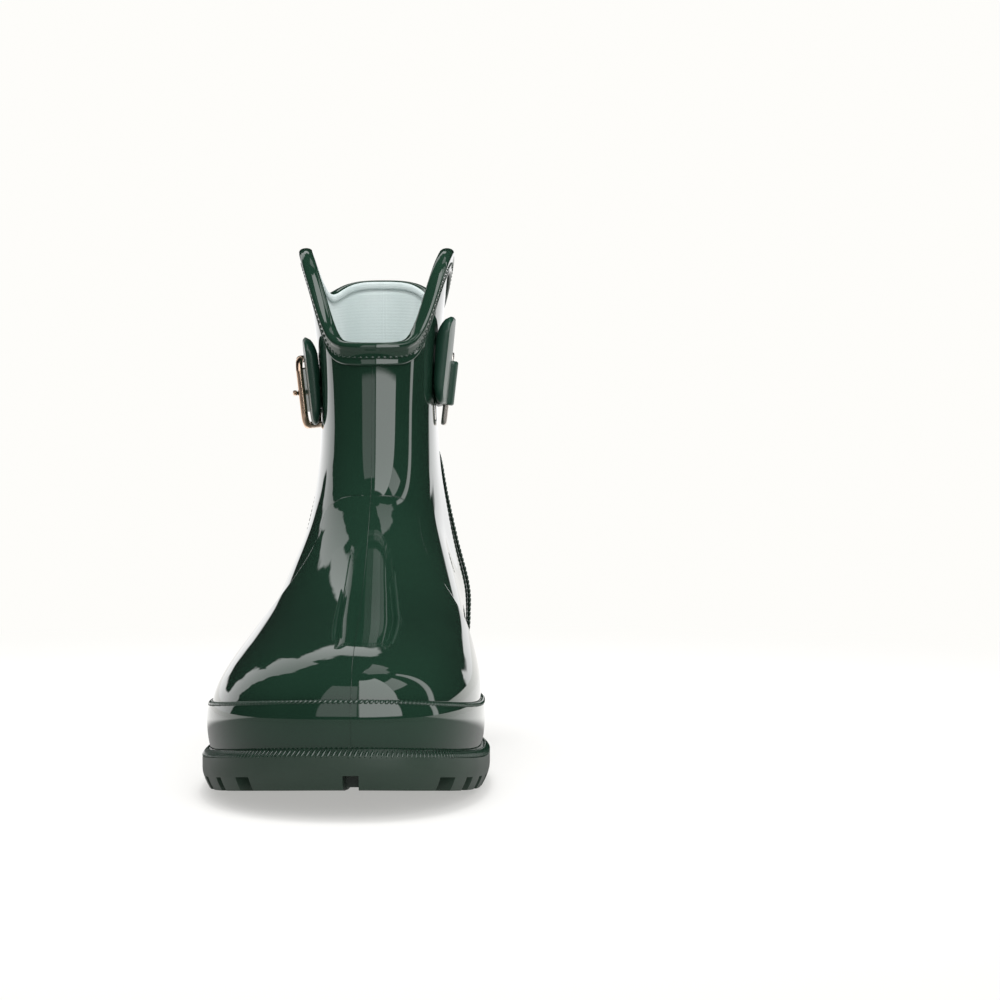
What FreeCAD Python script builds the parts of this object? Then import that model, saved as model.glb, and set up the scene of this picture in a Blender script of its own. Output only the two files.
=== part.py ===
import FreeCAD, Part
import math
import os

# Ankle-height rubber rain boot for the wearer's right foot, as one assembly of separate pieces.
# Frame: millimetres, +Z up from the floor, the toe points to -Y, the inner (big toe) side is +X.
# The origin is on the floor under the middle of the ankle, in the heel's tread.

V = FreeCAD.Vector

# ---------------------------------------------------------------- driving dimensions
boot_length = 264.0        # outsole, tip of the toe to back of the heel
ball_width = 104.0         # outsole across the ball of the foot
collar_peak = 200.0        # floor to the side peaks of the collar

shell_wall = 2.2           # moulded waterproof shell
overlay_wall = 1.0         # vamp and heel counter, standing proud of the shell
lining_wall = 0.8          # knitted textile lining
skin_gap = 0.05            # glue line between two skins
glue_gap = 0.15            # glue line under the foxing and the overlays
band_gap = 0.35            # glue line under the collar's folded band
seat_gap = 0.2             # glue line where a moulded bottom piece meets the shell or the outsole

outsole_thick = 11.5       # tread to footbed under the ball
heel_rise = 13.0           # how much thicker the outsole is under the heel
toe_spring = 10.3          # lift of the tread under the tip of the toe
flange_width = 4.9         # outsole beyond the shell, all round
flange_bevel = 2.6         # how far the side wall draws in at the tread
groove_depth = 4.6         # gaps between the tread lugs
groove_width = 5.0
arch_height = 7.0          # gap under the shank, between forefoot and heel treads
foxing_top = 30.5          # mudguard band, top edge above the tread line
foxing_wall = 2.6
welt_height = 2.6          # ribbed strip on the outsole's flange

board_thick = 2.0          # insole board
insole_thick = 3.6         # foam footbed

binding_drop = 7.0         # how far the collar band reaches down outside
binding_inside = 2.2       # and inside
binding_wall = 1.1
binding_roll = 1.9         # thickness of the rolled rim above the shell's edge

strap_width = 18.0
strap_thick = 2.2
strap_lean = 6.5           # degrees, the straps stand a little further out at the top
strap_gap = 2.5            # wall to strap, where it runs free round the back
strap_level = 0.7215 * collar_peak        # height of the buckle's middle
ring_strap_level = 0.738 * collar_peak    # the strap's middle at the inner loop
patch_height = 35.0        # wide front ends of the two straps
patch_gap = 2.7            # wall to patch
patch_front_y = -25.0
outer_patch_level = 0.74 * collar_peak
inner_patch_level = 0.7815 * collar_peak
tail_y = 43.0              # rear end of the buckle strap's tongue

frame_height = 30.0        # buckle frame, outside
frame_span = 22.0          # rear bar to front bar, centre to centre
frame_wire = 2.8
frame_rise = 4.6           # front bar further out than the rear bar
rear_bar_y = 17.0
bar_radius = 1.2
bar_clearance = 0.12       # strap fold and prong on the bar
moving_gap = 0.4           # air between pieces that move past each other
prong_thick = 2.2
prong_loop_wall = 1.3
prong_over = 7.7           # prong's run above the rear bar's axis
tongue_slot = 10.6         # length of the hole that holds the prong

ring_height = 30.0         # inner side loop
ring_level = 0.726 * collar_peak
ring_span = 14.0
ring_front_y = -3.0
ring_wire = 2.4

keeper_y = 33.0
keeper_width = 5.0
keeper_wall = 0.9
keeper_gap = 0.35          # keeper to the straps that it holds

rivet_radius = 1.5
rivet_cap_radius = 3.0
rivet_cap_height = 0.9
rivet_pitch = 17.0         # the two rivets of a patch, centre to centre
rivet_y = -16.0
washer_radius = 4.0
washer_thick = 0.8
washer_gap = 0.4           # washer to lining, where the wall curves away
spacer_radius = 2.7

# ---------------------------------------------------------------- the last, level by level
# Shell's outer surface at the design size. Each row is one height:
# z, toe end y, heel end y, half widths (outer, inner) at the ball, waist and heel,
# rounding lengths of toe and heel
LEVELS = [
    (12.0, -200.4, 53.6, 53.0, 40.9, 38.0, 33.0, 33.0, 33.0, 89.0, 43.0),
    (22.0, -201.2, 54.4, 53.5, 41.3, 39.0, 34.2, 34.4, 34.4, 89.0, 43.0),
    (31.0, -200.2, 54.6, 53.2, 41.5, 39.8, 35.2, 35.2, 35.2, 89.0, 43.0),
    (38.0, -197.0, 54.3, 51.0, 41.2, 39.8, 35.8, 35.5, 35.8, 88.0, 43.0),
    (44.0, -191.6, 53.6, 47.8, 40.1, 39.4, 36.0, 35.6, 36.0, 87.0, 43.0),
    (50.0, -182.0, 52.4, 43.9, 38.6, 38.6, 36.0, 35.4, 36.1, 84.0, 43.0),
    (56.0, -167.0, 51.0, 39.8, 37.0, 37.4, 35.6, 35.0, 36.0, 80.0, 42.5),
    (62.0, -148.5, 49.4, 36.2, 35.2, 35.8, 34.8, 34.2, 35.4, 76.0, 42.0),
    (69.0, -128.0, 47.6, 33.0, 32.8, 33.4, 32.8, 33.0, 34.2, 70.0, 42.0),
    (78.0, -106.0, 45.7, 29.8, 29.8, 30.2, 30.0, 31.0, 32.2, 62.0, 42.0),
    (88.0, -86.5, 44.2, 26.9, 27.0, 27.0, 27.2, 28.7, 30.0, 56.0, 42.0),
    (100.0, -70.0, 43.2, 24.4, 24.6, 24.3, 24.8, 26.2, 27.6, 51.0, 43.0),
    (114.0, -59.5, 43.0, 22.7, 23.1, 22.6, 23.2, 24.0, 25.4, 48.0, 44.0),
    (130.0, -54.6, 44.0, 22.1, 22.7, 22.1, 22.8, 22.9, 24.2, 48.0, 45.0),
    (150.0, -52.8, 46.2, 22.9, 23.3, 22.9, 23.4, 23.6, 24.3, 49.0, 46.0),
    (168.0, -53.0, 48.5, 24.7, 24.8, 24.7, 24.9, 25.3, 25.7, 51.0, 48.0),
    (185.0, -54.0, 50.5, 27.4, 26.9, 27.4, 27.0, 28.0, 27.5, 53.0, 49.0),
    (203.0, -55.4, 52.0, 30.4, 29.3, 30.5, 29.4, 30.9, 29.9, 55.0, 50.0),
    (216.0, -56.0, 52.6, 31.6, 30.4, 31.7, 30.5, 32.0, 31.0, 56.0, 51.0),
]
BALL_Y, WAIST_Y, HEEL_Y = -108.0, -45.0, 12.0
TOE_ROUND, HEEL_ROUND = 2.35, 2.3      # superellipse exponents of the two ends
DESIGN_LENGTH, DESIGN_WIDTH, DESIGN_PEAK = 264.0, 104.0, 200.0

# Collar line seen from the side: low at the instep, a peak on each side, a dip and a raised back
COLLAR = [(-75.0, 161.0), (-58.0, 160.5), (-49.0, 161.2), (-42.0, 165.5), (-34.0, 177.0), (-26.0, 189.5),
          (-16.0, 197.6), (-5.0, 200.0), (6.0, 197.4), (18.0, 188.8), (28.0, 183.6), (38.0, 185.2),
          (48.0, 189.2), (60.0, 191.0), (75.0, 191.0)]
# Vamp's rear edge, from the arch on the instep down and forwards, and counter's front edge, also from the side
VAMP_EDGE = [(-69.5, 103.6), (-67.0, 103.2), (-64.0, 101.6), (-62.6, 98.6), (-64.6, 95.0), (-70.8, 90.2),
             (-78.6, 84.6), (-86.6, 78.2), (-93.0, 71.5), (-98.0, 63.0), (-101.8, 53.0), (-104.6, 42.0),
             (-107.0, 30.0), (-109.0, 16.0)]
COUNTER_EDGE = [(60.0, 128.0), (44.0, 127.4), (28.0, 124.0), (17.0, 117.5), (12.2, 108.0), (10.2, 95.0),
                (9.0, 80.0), (7.0, 62.0), (3.0, 46.0), (-2.0, 34.0), (-6.0, 22.0)]

along = boot_length / DESIGN_LENGTH
across = ball_width / DESIGN_WIDTH
upward = collar_peak / DESIGN_PEAK


# ---------------------------------------------------------------- curves and the last's surface
def spline_table(xs, ys):
    """Natural cubic through the points, as a function. Beyond the ends it stays level."""
    n = len(xs)
    h = [xs[i + 1] - xs[i] for i in range(n - 1)]
    low, diag, rhs = [0.0] * n, [1.0] * n, [0.0] * n
    for i in range(1, n - 1):
        slope = (ys[i + 1] - ys[i]) / h[i] - (ys[i] - ys[i - 1]) / h[i - 1]
        factor = h[i - 1] / diag[i - 1] if i > 1 else 0.0
        low[i] = h[i]
        diag[i] = 2 * (h[i - 1] + h[i]) - factor * low[i - 1]
        rhs[i] = 6 * slope - factor * rhs[i - 1]
    bend = [0.0] * n
    for i in range(n - 2, 0, -1):
        bend[i] = (rhs[i] - low[i] * bend[i + 1]) / diag[i]

    def value(x):
        if x <= xs[0]:
            return ys[0]
        if x >= xs[-1]:
            return ys[-1]
        i = max(j for j in range(n - 1) if xs[j] <= x)
        a, b = (xs[i + 1] - x) / h[i], (x - xs[i]) / h[i]
        curve = (a ** 3 - a) * bend[i] + (b ** 3 - b) * bend[i + 1]
        return a * ys[i] + b * ys[i + 1] + curve * h[i] ** 2 / 6

    return value


def smooth_step(t):
    t = min(1.0, max(0.0, t))
    return t * t * (3 - 2 * t)


heights = [row[0] * upward for row in LEVELS]
scales = [along, along, across, across, across, across, across, across, along, along]
columns = [spline_table(heights, [row[i + 1] * scales[i] for row in LEVELS]) for i in range(10)]


def lift(y):
    """Rise of the footbed line: the toe spring in front and the heel's thickness behind."""
    ball, tip = (BALL_Y + 3) * along, -206.0 * along
    rise = toe_spring * max(0.0, (ball - y) / (ball - tip)) ** 1.7
    return rise + heel_rise * smooth_step((y / along + 85.0) / 75.0)


def tread_lift(y):
    """Rise of the tread itself: only the toe spring."""
    return lift(y) - heel_rise * smooth_step((y / along + 85.0) / 75.0)


def fade(z):
    """How much of the footbed's rise a level of the last keeps: all at the sole, none at the ankle."""
    return 1.0 - smooth_step((z / upward - 18.0) / 68.0)


def sheared(y, z):
    """Height of level z of the last at the place y along the foot."""
    return z + lift(y) * fade(z)


def half_width(y, z, side):
    """Distance from the mid plane to the shell's outer face. side is -1 outside and 1 inside."""
    front, back = columns[0](z), columns[1](z)
    if y <= front or y >= back:
        return 0.0
    pick = 0 if side < 0 else 1
    ball, waist, heel = columns[2 + pick](z), columns[4 + pick](z), columns[6 + pick](z)
    t = y / along
    if t < WAIST_Y:
        wide = ball + (waist - ball) * smooth_step((t - BALL_Y) / (WAIST_Y - BALL_Y))
    else:
        wide = waist + (heel - waist) * smooth_step((t - WAIST_Y) / (HEEL_Y - WAIST_Y))
    toe = max(0.0, 1.0 - (y - front) / columns[8](z))
    end = max(0.0, 1.0 - (back - y) / columns[9](z))
    return wide * (1 - toe ** TOE_ROUND) ** (1 / TOE_ROUND) * (1 - end ** HEEL_ROUND) ** (1 / HEEL_ROUND)


def surface_point(phi, z):
    """Point of the shell's outer face. phi runs from the toe round the inner side to the heel and back."""
    front, back = columns[0](z), columns[1](z)
    y = (front + back) / 2 - (back - front) / 2 * math.cos(phi)
    side = 1.0 if math.sin(phi) >= 0 else -1.0
    return V(side * half_width(y, z, side), y, sheared(y, z))


def surface_normal(phi, z):
    step_phi, step_z = 0.03, 0.4
    round_it = surface_point(phi + step_phi, z) - surface_point(phi - step_phi, z)
    up = surface_point(phi, z + step_z) - surface_point(phi, z - step_z)
    return round_it.cross(up).normalize()


def offset_ring(z, offset, count=44):
    """Closed ring of points at a level, moved out from the shell by offset."""
    ring = []
    for i in range(count):
        phi = 2 * math.pi * (i + 0.5) / count
        point, normal = surface_point(phi, z), surface_normal(phi, z)
        ring.append(point + normal * offset)
    return ring


def closed_wire(points):
    curve = Part.BSplineCurve()
    curve.interpolate(Points=points, PeriodicFlag=True)
    return Part.Wire(curve.toShape())


LOFT_LEVELS = [6.0, 12.0, 18.0, 24.0, 30.0, 36.0, 41.5, 47.0, 53.0, 59.0, 66.0, 74.0, 83.0, 93.0, 104.0, 116.0,
               130.0, 147.0, 164.0, 180.0, 196.0, 212.0]
FOOT_LEVELS = [6.0, 10.0, 14.0, 18.0, 22.0, 26.0, 30.0, 35.0, 40.0]
COLLAR_LEVELS = [z for z in LOFT_LEVELS if z > 125.0]
FLOOR = -16.0


def shell_sheet(offset, levels, seated):
    """Open sheet through the rings at the levels, moved out from the shell. Seated rings keep to the footbed."""
    amount = offset if callable(offset) else (lambda z: offset)
    rings = [offset_ring(z * upward, amount(z)) for z in levels]
    if seated:
        rings = [[V(p.x, p.y, sheared(p.y, z * upward)) for p in ring] for ring, z in zip(rings, levels)]
    wires = [closed_wire(ring) for ring in rings]
    return wires, Part.makeLoft(wires, False, False, False, 3)


def skin(inner, outer, levels, seated=False):
    """Thin wall between two offsets of the shell's outer face, from the first level to the last."""
    far_wires, far = shell_sheet(outer, levels, seated)
    near_wires, near = shell_sheet(inner, levels, seated)
    rims = [Part.makeLoft([near_wires[i], far_wires[i]], False, True) for i in (0, -1)]
    faces = far.Faces + near.Faces + rims[0].Faces + rims[1].Faces
    shell = Part.makeShell(faces)
    shell.sewShape()
    solid = Part.makeSolid(shell if shell.ShapeType == "Shell" else shell.Shells[0])
    if solid.Volume < 0:
        solid.reverse()
    return solid


def filled(offset, levels, floor=FLOOR):
    """Closed solid inside an offset of the shell's outer face, with a flat end below and above."""
    amount = offset if callable(offset) else (lambda z: offset)
    rings = [offset_ring(z * upward, amount(z)) for z in levels]
    below = [[V(p.x, p.y, p.z + (floor - p.z) * t) for p in rings[0]] for t in (1.0, 0.7, 0.4, 0.15)]
    top = 75.0 * upward
    above = [[V(p.x, p.y, p.z + (top - p.z) * t) for p in rings[-1]] for t in (0.15, 0.4, 0.7, 1.0)]
    return Part.makeLoft([closed_wire(r) for r in below + rings + above], True, False, False, 3)


def side_prism(outline, x_low=-90.0, x_high=90.0):
    """Prism across the boot from an outline in the side view. An outline is a list of edges' point lists:
    two points are a line, more are a smooth curve."""
    edges = []
    for points in outline:
        places = [V(x_low, y, z) for y, z in points]
        if len(places) == 2:
            edges.append(Part.LineSegment(places[0], places[1]).toShape())
        else:
            curve = Part.BSplineCurve()
            curve.interpolate(Points=places)
            edges.append(curve.toShape())
    return Part.Face(Part.Wire(edges)).extrude(V(x_high - x_low, 0, 0))


def polygon_prism(corners, x_low=-90.0, x_high=90.0):
    ends = corners[1:] + corners[:1]
    return side_prism([[a, b] for a, b in zip(corners, ends)], x_low, x_high)


Y_TOE, Y_HEEL = -235.0 * along, 85.0 * along


def level_line(z, count=24):
    """A level of the last seen from the side, as points."""
    span = Y_HEEL - Y_TOE
    return [(Y_TOE + span * i / count, sheared(Y_TOE + span * i / count, z)) for i in range(count + 1)]


def between(low, high):
    """Prism between two side-view lines that both run from toe to heel."""
    return side_prism([low, [low[-1], high[-1]], high[::-1], [high[0], low[0]]])


def only_solids(shape):
    return shape.Solids[0] if len(shape.Solids) == 1 else Part.makeCompound(shape.Solids)


footbed_line = level_line(outsole_thick)
collar_line = [(y * along, z * upward) for y, z in COLLAR]
vamp_edge = [(y * along, z * upward) for y, z in VAMP_EDGE]
counter_edge = [(y * along, z * upward) for y, z in COUNTER_EDGE]


def collar_side(drop):
    """The collar line moved down by drop."""
    return [(y, z - drop) for y, z in collar_line]


# ---------------------------------------------------------------- upper, lining and bottom
def wall_levels(low):
    return [low] + [z for z in LOFT_LEVELS if z > low + 2.0]


def rest_on_footbed(inner, outer, keep):
    """Skin that stands on the footbed line and ends where keep does."""
    low = (outsole_thick + seat_gap) / upward
    return only_solids(skin(inner, outer, wall_levels(low)).common(keep))


def collar_keep():
    top = collar_side(0.0)
    ends = [(top[-1][0], FLOOR), (top[0][0], FLOOR)]
    tall = side_prism([top, [top[-1], ends[0]], ends, [ends[1], top[0]]])
    front = polygon_prism([(Y_TOE, FLOOR), (top[0][0], FLOOR), (top[0][0], top[0][1]), (Y_TOE, top[0][1])])
    return tall.fuse(front)


def make_upper():
    return rest_on_footbed(-shell_wall, 0.0, collar_keep())


def make_lining():
    return rest_on_footbed(-shell_wall - skin_gap - lining_wall, -shell_wall - skin_gap, collar_keep())


def overlay_skin():
    low = (foxing_top + seat_gap) / upward
    levels = [low] + [z for z in LOFT_LEVELS if low + 2.0 < z < 160.0]
    return skin(glue_gap, overlay_wall, levels)


def overlay_cutter(edge, far_y):
    """Prism on one side of an overlay's edge, out to far_y."""
    return side_prism([edge, [edge[-1], (far_y, edge[-1][1])], [(far_y, edge[-1][1]), (far_y, edge[0][1])],
                       [(far_y, edge[0][1]), edge[0]]])


def make_vamp(blank):
    return only_solids(blank.common(overlay_cutter(vamp_edge, Y_TOE)))


def make_counter(blank):
    return only_solids(blank.common(overlay_cutter(counter_edge, Y_HEEL)))


def foxing_offset(z):
    """The band bellies out in the middle and draws in towards the welt."""
    t = (z - outsole_thick) / (foxing_top - outsole_thick)
    return foxing_wall - 1.3 * (max(0.0, 0.45 - t) / 0.45) ** 1.5 - 0.35 * max(0.0, t - 0.6)


def make_foxing():
    low, high = outsole_thick + seat_gap, foxing_top
    levels = [(low + (high - low) * i / 5) / upward for i in range(6)]
    return skin(seat_gap + glue_gap, lambda z: foxing_offset(z * upward), levels, True)


def make_welt():
    low = outsole_thick + seat_gap
    steps = [low, low + 0.8, low + welt_height * 0.65, low + welt_height]

    def crown(z):
        t = min(1.0, max(0.0, (z * upward - steps[1]) / (steps[-1] - steps[1])))
        reach = flange_width - 0.3
        return reach - (reach - foxing_offset(steps[-1]) - 0.6) * t

    return skin(lambda z: foxing_offset(z * upward) + glue_gap, crown, [z / upward for z in steps], True)


def outsole_offset(z):
    return flange_width - flange_bevel * max(0.0, 1 - z / (0.6 * outsole_thick)) ** 1.6


def groove(x, y, towards_x, towards_y, wide):
    """Cutter for one gap between lugs, from a place near the middle out past the sole's edge."""
    run = V(towards_x - x, towards_y - y, 0)
    box = Part.makeBox(run.Length, wide, 40.0 + groove_depth, V(0, -wide / 2, -40.0))
    box.rotate(V(0, 0, 0), V(0, 0, 1), math.degrees(math.atan2(run.y, run.x)))
    box.translate(V(x, y, tread_lift(y - 4)))
    return box


def tread_grooves():
    """Gaps between the lugs: one down the middle of the toe, the rest slanting outwards."""
    toe_tip = -206.0 * along
    cutters = [groove(0, toe_tip + 30 * along, 0, toe_tip - 10, groove_width)]
    for side in (-1, 1):
        for i in range(8):
            splay = (22.0 - 2.0 * i) * along
            y = toe_tip + (16 + 17.0 * i) * along + splay * 0.45
            cutters.append(groove(side * 13, y, side * 90, y - splay, groove_width))
        for i in range(3):
            y = (8 + 15 * i) * along
            cutters.append(groove(side * 8, y, side * 90, y + 4 * along, groove_width))
    return cutters


def make_outsole():
    rings = []
    for z in (0.0, 2.5, 5.0, 7.5, 10.0, 12.5, 16.0):
        share = min(1.0, z / outsole_thick)
        ring = offset_ring(12.0 * upward, outsole_offset(z))
        rings.append([V(p.x, p.y, z + tread_lift(p.y) + (lift(p.y) - tread_lift(p.y)) * share) for p in ring])
    below = [[V(p.x, p.y, p.z + (FLOOR - p.z) * t) for p in rings[0]] for t in (1.0, 0.6, 0.25)]
    above = [[V(p.x, p.y, p.z + (60.0 - p.z) * t) for p in rings[-1]] for t in (0.25, 0.6, 1.0)]
    block = Part.makeLoft([closed_wire(r) for r in below + rings + above], True, False, False, 3)
    arch_front, heel_front = -62.0 * along, -14.0 * along
    spring_end = BALL_Y * along
    front = [(Y_TOE + (spring_end - Y_TOE) * i / 12, 0) for i in range(13)]
    front = [(y, tread_lift(y)) for y, z in front]
    flat = [front[-1], (arch_front, 0.0), (arch_front + 9, arch_height), (heel_front - 3, arch_height + 1.5),
            (heel_front, 0.0), (Y_HEEL, 0.0), footbed_line[-1]]
    profile = [front] + [[a, b] for a, b in zip(flat, flat[1:])]
    profile += [footbed_line[::-1], [footbed_line[0], front[0]]]
    sole = block.common(side_prism(profile))
    return only_solids(sole.cut(tread_grooves()))


def make_board():
    inset = -shell_wall - lining_wall - 2 * seat_gap
    top = level_line(outsole_thick + board_thick)
    return only_solids(filled(inset, FOOT_LEVELS).common(between(level_line(outsole_thick + seat_gap), top)))


def make_insole():
    inset = -shell_wall - lining_wall - 3 * seat_gap
    low = level_line(outsole_thick + board_thick + skin_gap)
    top = level_line(outsole_thick + board_thick + insole_thick)
    return only_solids(filled(inset, FOOT_LEVELS).common(between(low, top)))


def make_binding():
    """Folded band over the collar: a wall outside, a wall inside and a rolled rim over the top."""
    inner_face = -shell_wall - lining_wall - skin_gap - band_gap
    thick = skin(inner_face - binding_wall * 0.7, binding_wall, COLLAR_LEVELS)
    block = thick.common(between(collar_side(binding_drop), collar_side(-binding_roll)))
    slot = skin(inner_face, band_gap, COLLAR_LEVELS)
    slot = slot.common(between(collar_side(binding_drop + 4), collar_side(-band_gap)))
    trim = skin(inner_face - binding_wall * 2, inner_face, COLLAR_LEVELS)
    trim = trim.common(between(collar_side(binding_drop + 4), collar_side(binding_inside)))
    return only_solids(block.cut(slot).cut(trim))


# ---------------------------------------------------------------- strap, buckle and inner loop
OUTER, INNER = -1, 1


def wall_place(y, side):
    """Shell's outer face at the strap's level, and its level outward direction."""
    step = 0.5
    slope = (half_width(y + step, strap_level, side) - half_width(y - step, strap_level, side)) / (2 * step)
    return V(side * half_width(y, strap_level, side), y, strap_level), V(side, -slope, 0).normalize()


def leaning(point, out, gap, z):
    """Place off the wall by gap at the strap's level, further out above it, as the straps lean."""
    rise = z - strap_level
    return point + out * (gap + rise * math.tan(math.radians(strap_lean))) + V(0, 0, rise)


def side_places(y_from, y_to, side, count=16):
    ys = [y_from + (y_to - y_from) * i / count for i in range(count + 1)]
    return [wall_place(y, side) + (y,) for y in ys]


def rear_places(y_outer, y_inner, count=30):
    """Places from the outer side round the heel to the inner side."""
    front, back = columns[0](strap_level), columns[1](strap_level)

    def angle(y):
        return math.acos(((front + back) / 2 - y) / ((back - front) / 2))

    start, stop = 2 * math.pi - angle(y_outer), angle(y_inner)
    places = []
    for i in range(count + 1):
        phi = start + (stop - start) * i / count
        point, normal = surface_point(phi, strap_level), surface_normal(phi, strap_level)
        places.append((point, V(normal.x, normal.y, 0).normalize(), point.y))
    return places


def ribbon(places, low_z, high_z, gap, thick):
    """Band of an even thickness along the places, standing off the wall by gap, a function of y."""
    wires = []
    for z in (low_z, high_z):
        near = [leaning(point, out, gap(y), z) for point, out, y in places]
        far = [leaning(point, out, gap(y) + thick, z) for point, out, y in places]
        inner_edge, outer_edge = Part.BSplineCurve(), Part.BSplineCurve()
        inner_edge.interpolate(Points=near)
        outer_edge.interpolate(Points=far[::-1])
        wires.append(Part.Wire([inner_edge.toShape(), Part.LineSegment(near[-1], far[-1]).toShape(),
                                outer_edge.toShape(), Part.LineSegment(far[0], near[0]).toShape()]))
    return Part.makeLoft(wires, True, True)


fold_bore = bar_radius + bar_clearance
fold_radius = fold_bore + strap_thick * 0.85
bar_off_wall = fold_radius + 1.0


def bar_axes(y, z, side):
    """Frame of an upright bar beside the wall: x out, y towards the toe, z up along the bar."""
    point, out = wall_place(y, side)
    middle = leaning(point, V(side, 0, 0), bar_off_wall, z)
    tilt = math.radians(strap_lean) * side
    up, outward = V(math.sin(tilt), 0, math.cos(tilt)), V(side * math.cos(tilt), 0, -abs(math.sin(tilt)))
    return middle, outward, V(0, -1, 0), up


def placed(local, axes):
    """Local solid moved to a bar's frame. Those on the inner side are the same upside down."""
    middle, out, ahead, up = axes
    if out.cross(ahead).dot(up) < 0:
        up = up * -1
    matrix = FreeCAD.Matrix(out.x, ahead.x, up.x, middle.x, out.y, ahead.y, up.y, middle.y,
                            out.z, ahead.z, up.z, middle.z, 0, 0, 0, 1)
    moved = local.copy()
    moved.transformShape(matrix, True)
    return moved


def local_tube(radius, height):
    return Part.makeCylinder(radius, height, V(0, 0, -height / 2))


def local_block(x0, x1, y0, y1, height):
    return Part.makeBox(x1 - x0, y1 - y0, height, V(x0, y0, -height / 2))


def thick_line(points, thick, height):
    """Upright slab whose plan is a smooth line of an even thickness."""
    left, right = [], []
    for i in range(len(points)):
        before, after = points[max(0, i - 1)], points[min(len(points) - 1, i + 1)]
        run = V(after[0] - before[0], after[1] - before[1], 0).normalize()
        square = V(-run.y, run.x, 0) * (thick / 2)
        middle = V(points[i][0], points[i][1], -height / 2)
        left.append(middle + square)
        right.append(middle - square)
    near, far = Part.BSplineCurve(), Part.BSplineCurve()
    near.interpolate(Points=left)
    far.interpolate(Points=right[::-1])
    wire = Part.Wire([near.toShape(), Part.LineSegment(left[-1], right[-1]).toShape(), far.toShape(),
                      Part.LineSegment(right[0], left[0]).toShape()])
    return Part.Face(wire).extrude(V(0, 0, height))


buckle_axes = bar_axes(rear_bar_y, strap_level, OUTER)
ring_rear_y = ring_front_y + ring_span
ring_front_axes = bar_axes(ring_front_y, ring_strap_level, INNER)
ring_rear_axes = bar_axes(ring_rear_y, ring_strap_level, INNER)


def strap_piece(places, side, gap, thick, outline):
    """Band along the places, cut to a side-view outline on one side of the boot."""
    band = ribbon(places, strap_level - 30, strap_level + 40, gap, thick)
    return band.common(side_prism(outline, -90 if side < 0 else 0, 0 if side < 0 else 90))


def patch_outline(level, neck_y, neck_level, end_y, end_level):
    """Side view of a strap end: a tall rounded patch in front that draws in to the strap's width."""
    half, tall, front = strap_width / 2, patch_height / 2, patch_front_y
    shoulder_y = neck_y - 6.0
    top, bottom = (front + 6.0, level + tall), (front + 6.0, level - tall)
    nose = [top, (front + 1.6, level + tall * 0.86), (front, level + tall * 0.5), (front, level - tall * 0.5),
            (front + 1.6, level - tall * 0.86), bottom]
    upper = [(neck_y, neck_level + half), (neck_y - 1.6, neck_level + half + 0.6),
             (shoulder_y + 1.4, level + tall * 0.93), (shoulder_y - 1.0, level + tall)]
    lower = [(shoulder_y - 1.0, level - tall), (shoulder_y + 1.4, level - tall * 0.93),
             (neck_y - 1.6, neck_level - half - 0.6), (neck_y, neck_level - half)]
    return [[(end_y, end_level + half), upper[0]], upper, [upper[-1], top], nose, [bottom, lower[0]], lower,
            [lower[-1], (end_y, end_level - half)], [(end_y, end_level - half), (end_y, end_level + half)]]


tongue_over_fold = bar_off_wall + fold_radius + moving_gap
tongue_on_strap = strap_gap + strap_thick + moving_gap
front_bar_y = rear_bar_y - frame_span


def tongue_gap(y):
    """Buckle strap off the wall: close at the patch, over the rear bar, then onto the back strap."""
    under_bar = patch_gap + 0.6 * smooth_step((y - rivet_y) / (front_bar_y - 2 - rivet_y))
    over_bar = under_bar + (tongue_over_fold - under_bar) * smooth_step((y - front_bar_y) / (frame_span - 4.5))
    return over_bar + (tongue_on_strap - over_bar) * smooth_step((y - rear_bar_y - fold_radius + 0.5) / 8.5)


def make_back_strap():
    half, tall = strap_width / 2, strap_level + 1.7
    rear = Y_HEEL
    band = ribbon(rear_places(rear_bar_y + 0.2, ring_rear_y + 0.2), strap_level - 26, strap_level + 28,
                  lambda y: strap_gap, strap_thick)
    sides = []
    for side, near_y, level in ((OUTER, rear_bar_y, strap_level), (INNER, ring_rear_y, ring_strap_level)):
        near = near_y - 5
        corners = [(near, level - half), (rear, tall - half), (rear, tall + half), (near, level + half)]
        sides.append(polygon_prism(corners, -90 if side < 0 else 0, 0 if side < 0 else 90))
    strap = band.common(sides[0].fuse(sides[1]))
    folds = [placed(local_tube(fold_radius, strap_width), axes) for axes in (buckle_axes, ring_rear_axes)]
    bores = [placed(local_tube(fold_bore, strap_width + 30), axes) for axes in (buckle_axes, ring_rear_axes)]
    window = placed(local_block(-fold_radius - 1, fold_radius + 3, -fold_radius - 3, fold_radius + 1,
                                prong_thick + 2 * moving_gap), buckle_axes)
    return only_solids(strap.fuse(folds).cut(bores + [window]))


def make_buckle_strap():
    half = strap_width / 2
    middle = strap_level + 0.6
    outline = patch_outline(outer_patch_level, front_bar_y - 1.5, middle, tail_y - half, middle)
    places = side_places(patch_front_y - 4, tail_y + 2, OUTER, 22)
    strap = strap_piece(places, OUTER, tongue_gap, strap_thick, outline)
    tip = Part.makeCylinder(half, 90, V(-90, tail_y - half, strap_level + 0.6), V(1, 0, 0))
    band = ribbon(places, strap_level - 30, strap_level + 40, tongue_gap, strap_thick)
    strap = strap.fuse(band.common(tip))
    slot = placed(local_block(-2, 12, -1.6, tongue_slot - 1.6, prong_thick + 2.4 * moving_gap), buckle_axes)
    return only_solids(strap.cut([slot] + rivet_cutters(OUTER)))


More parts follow.
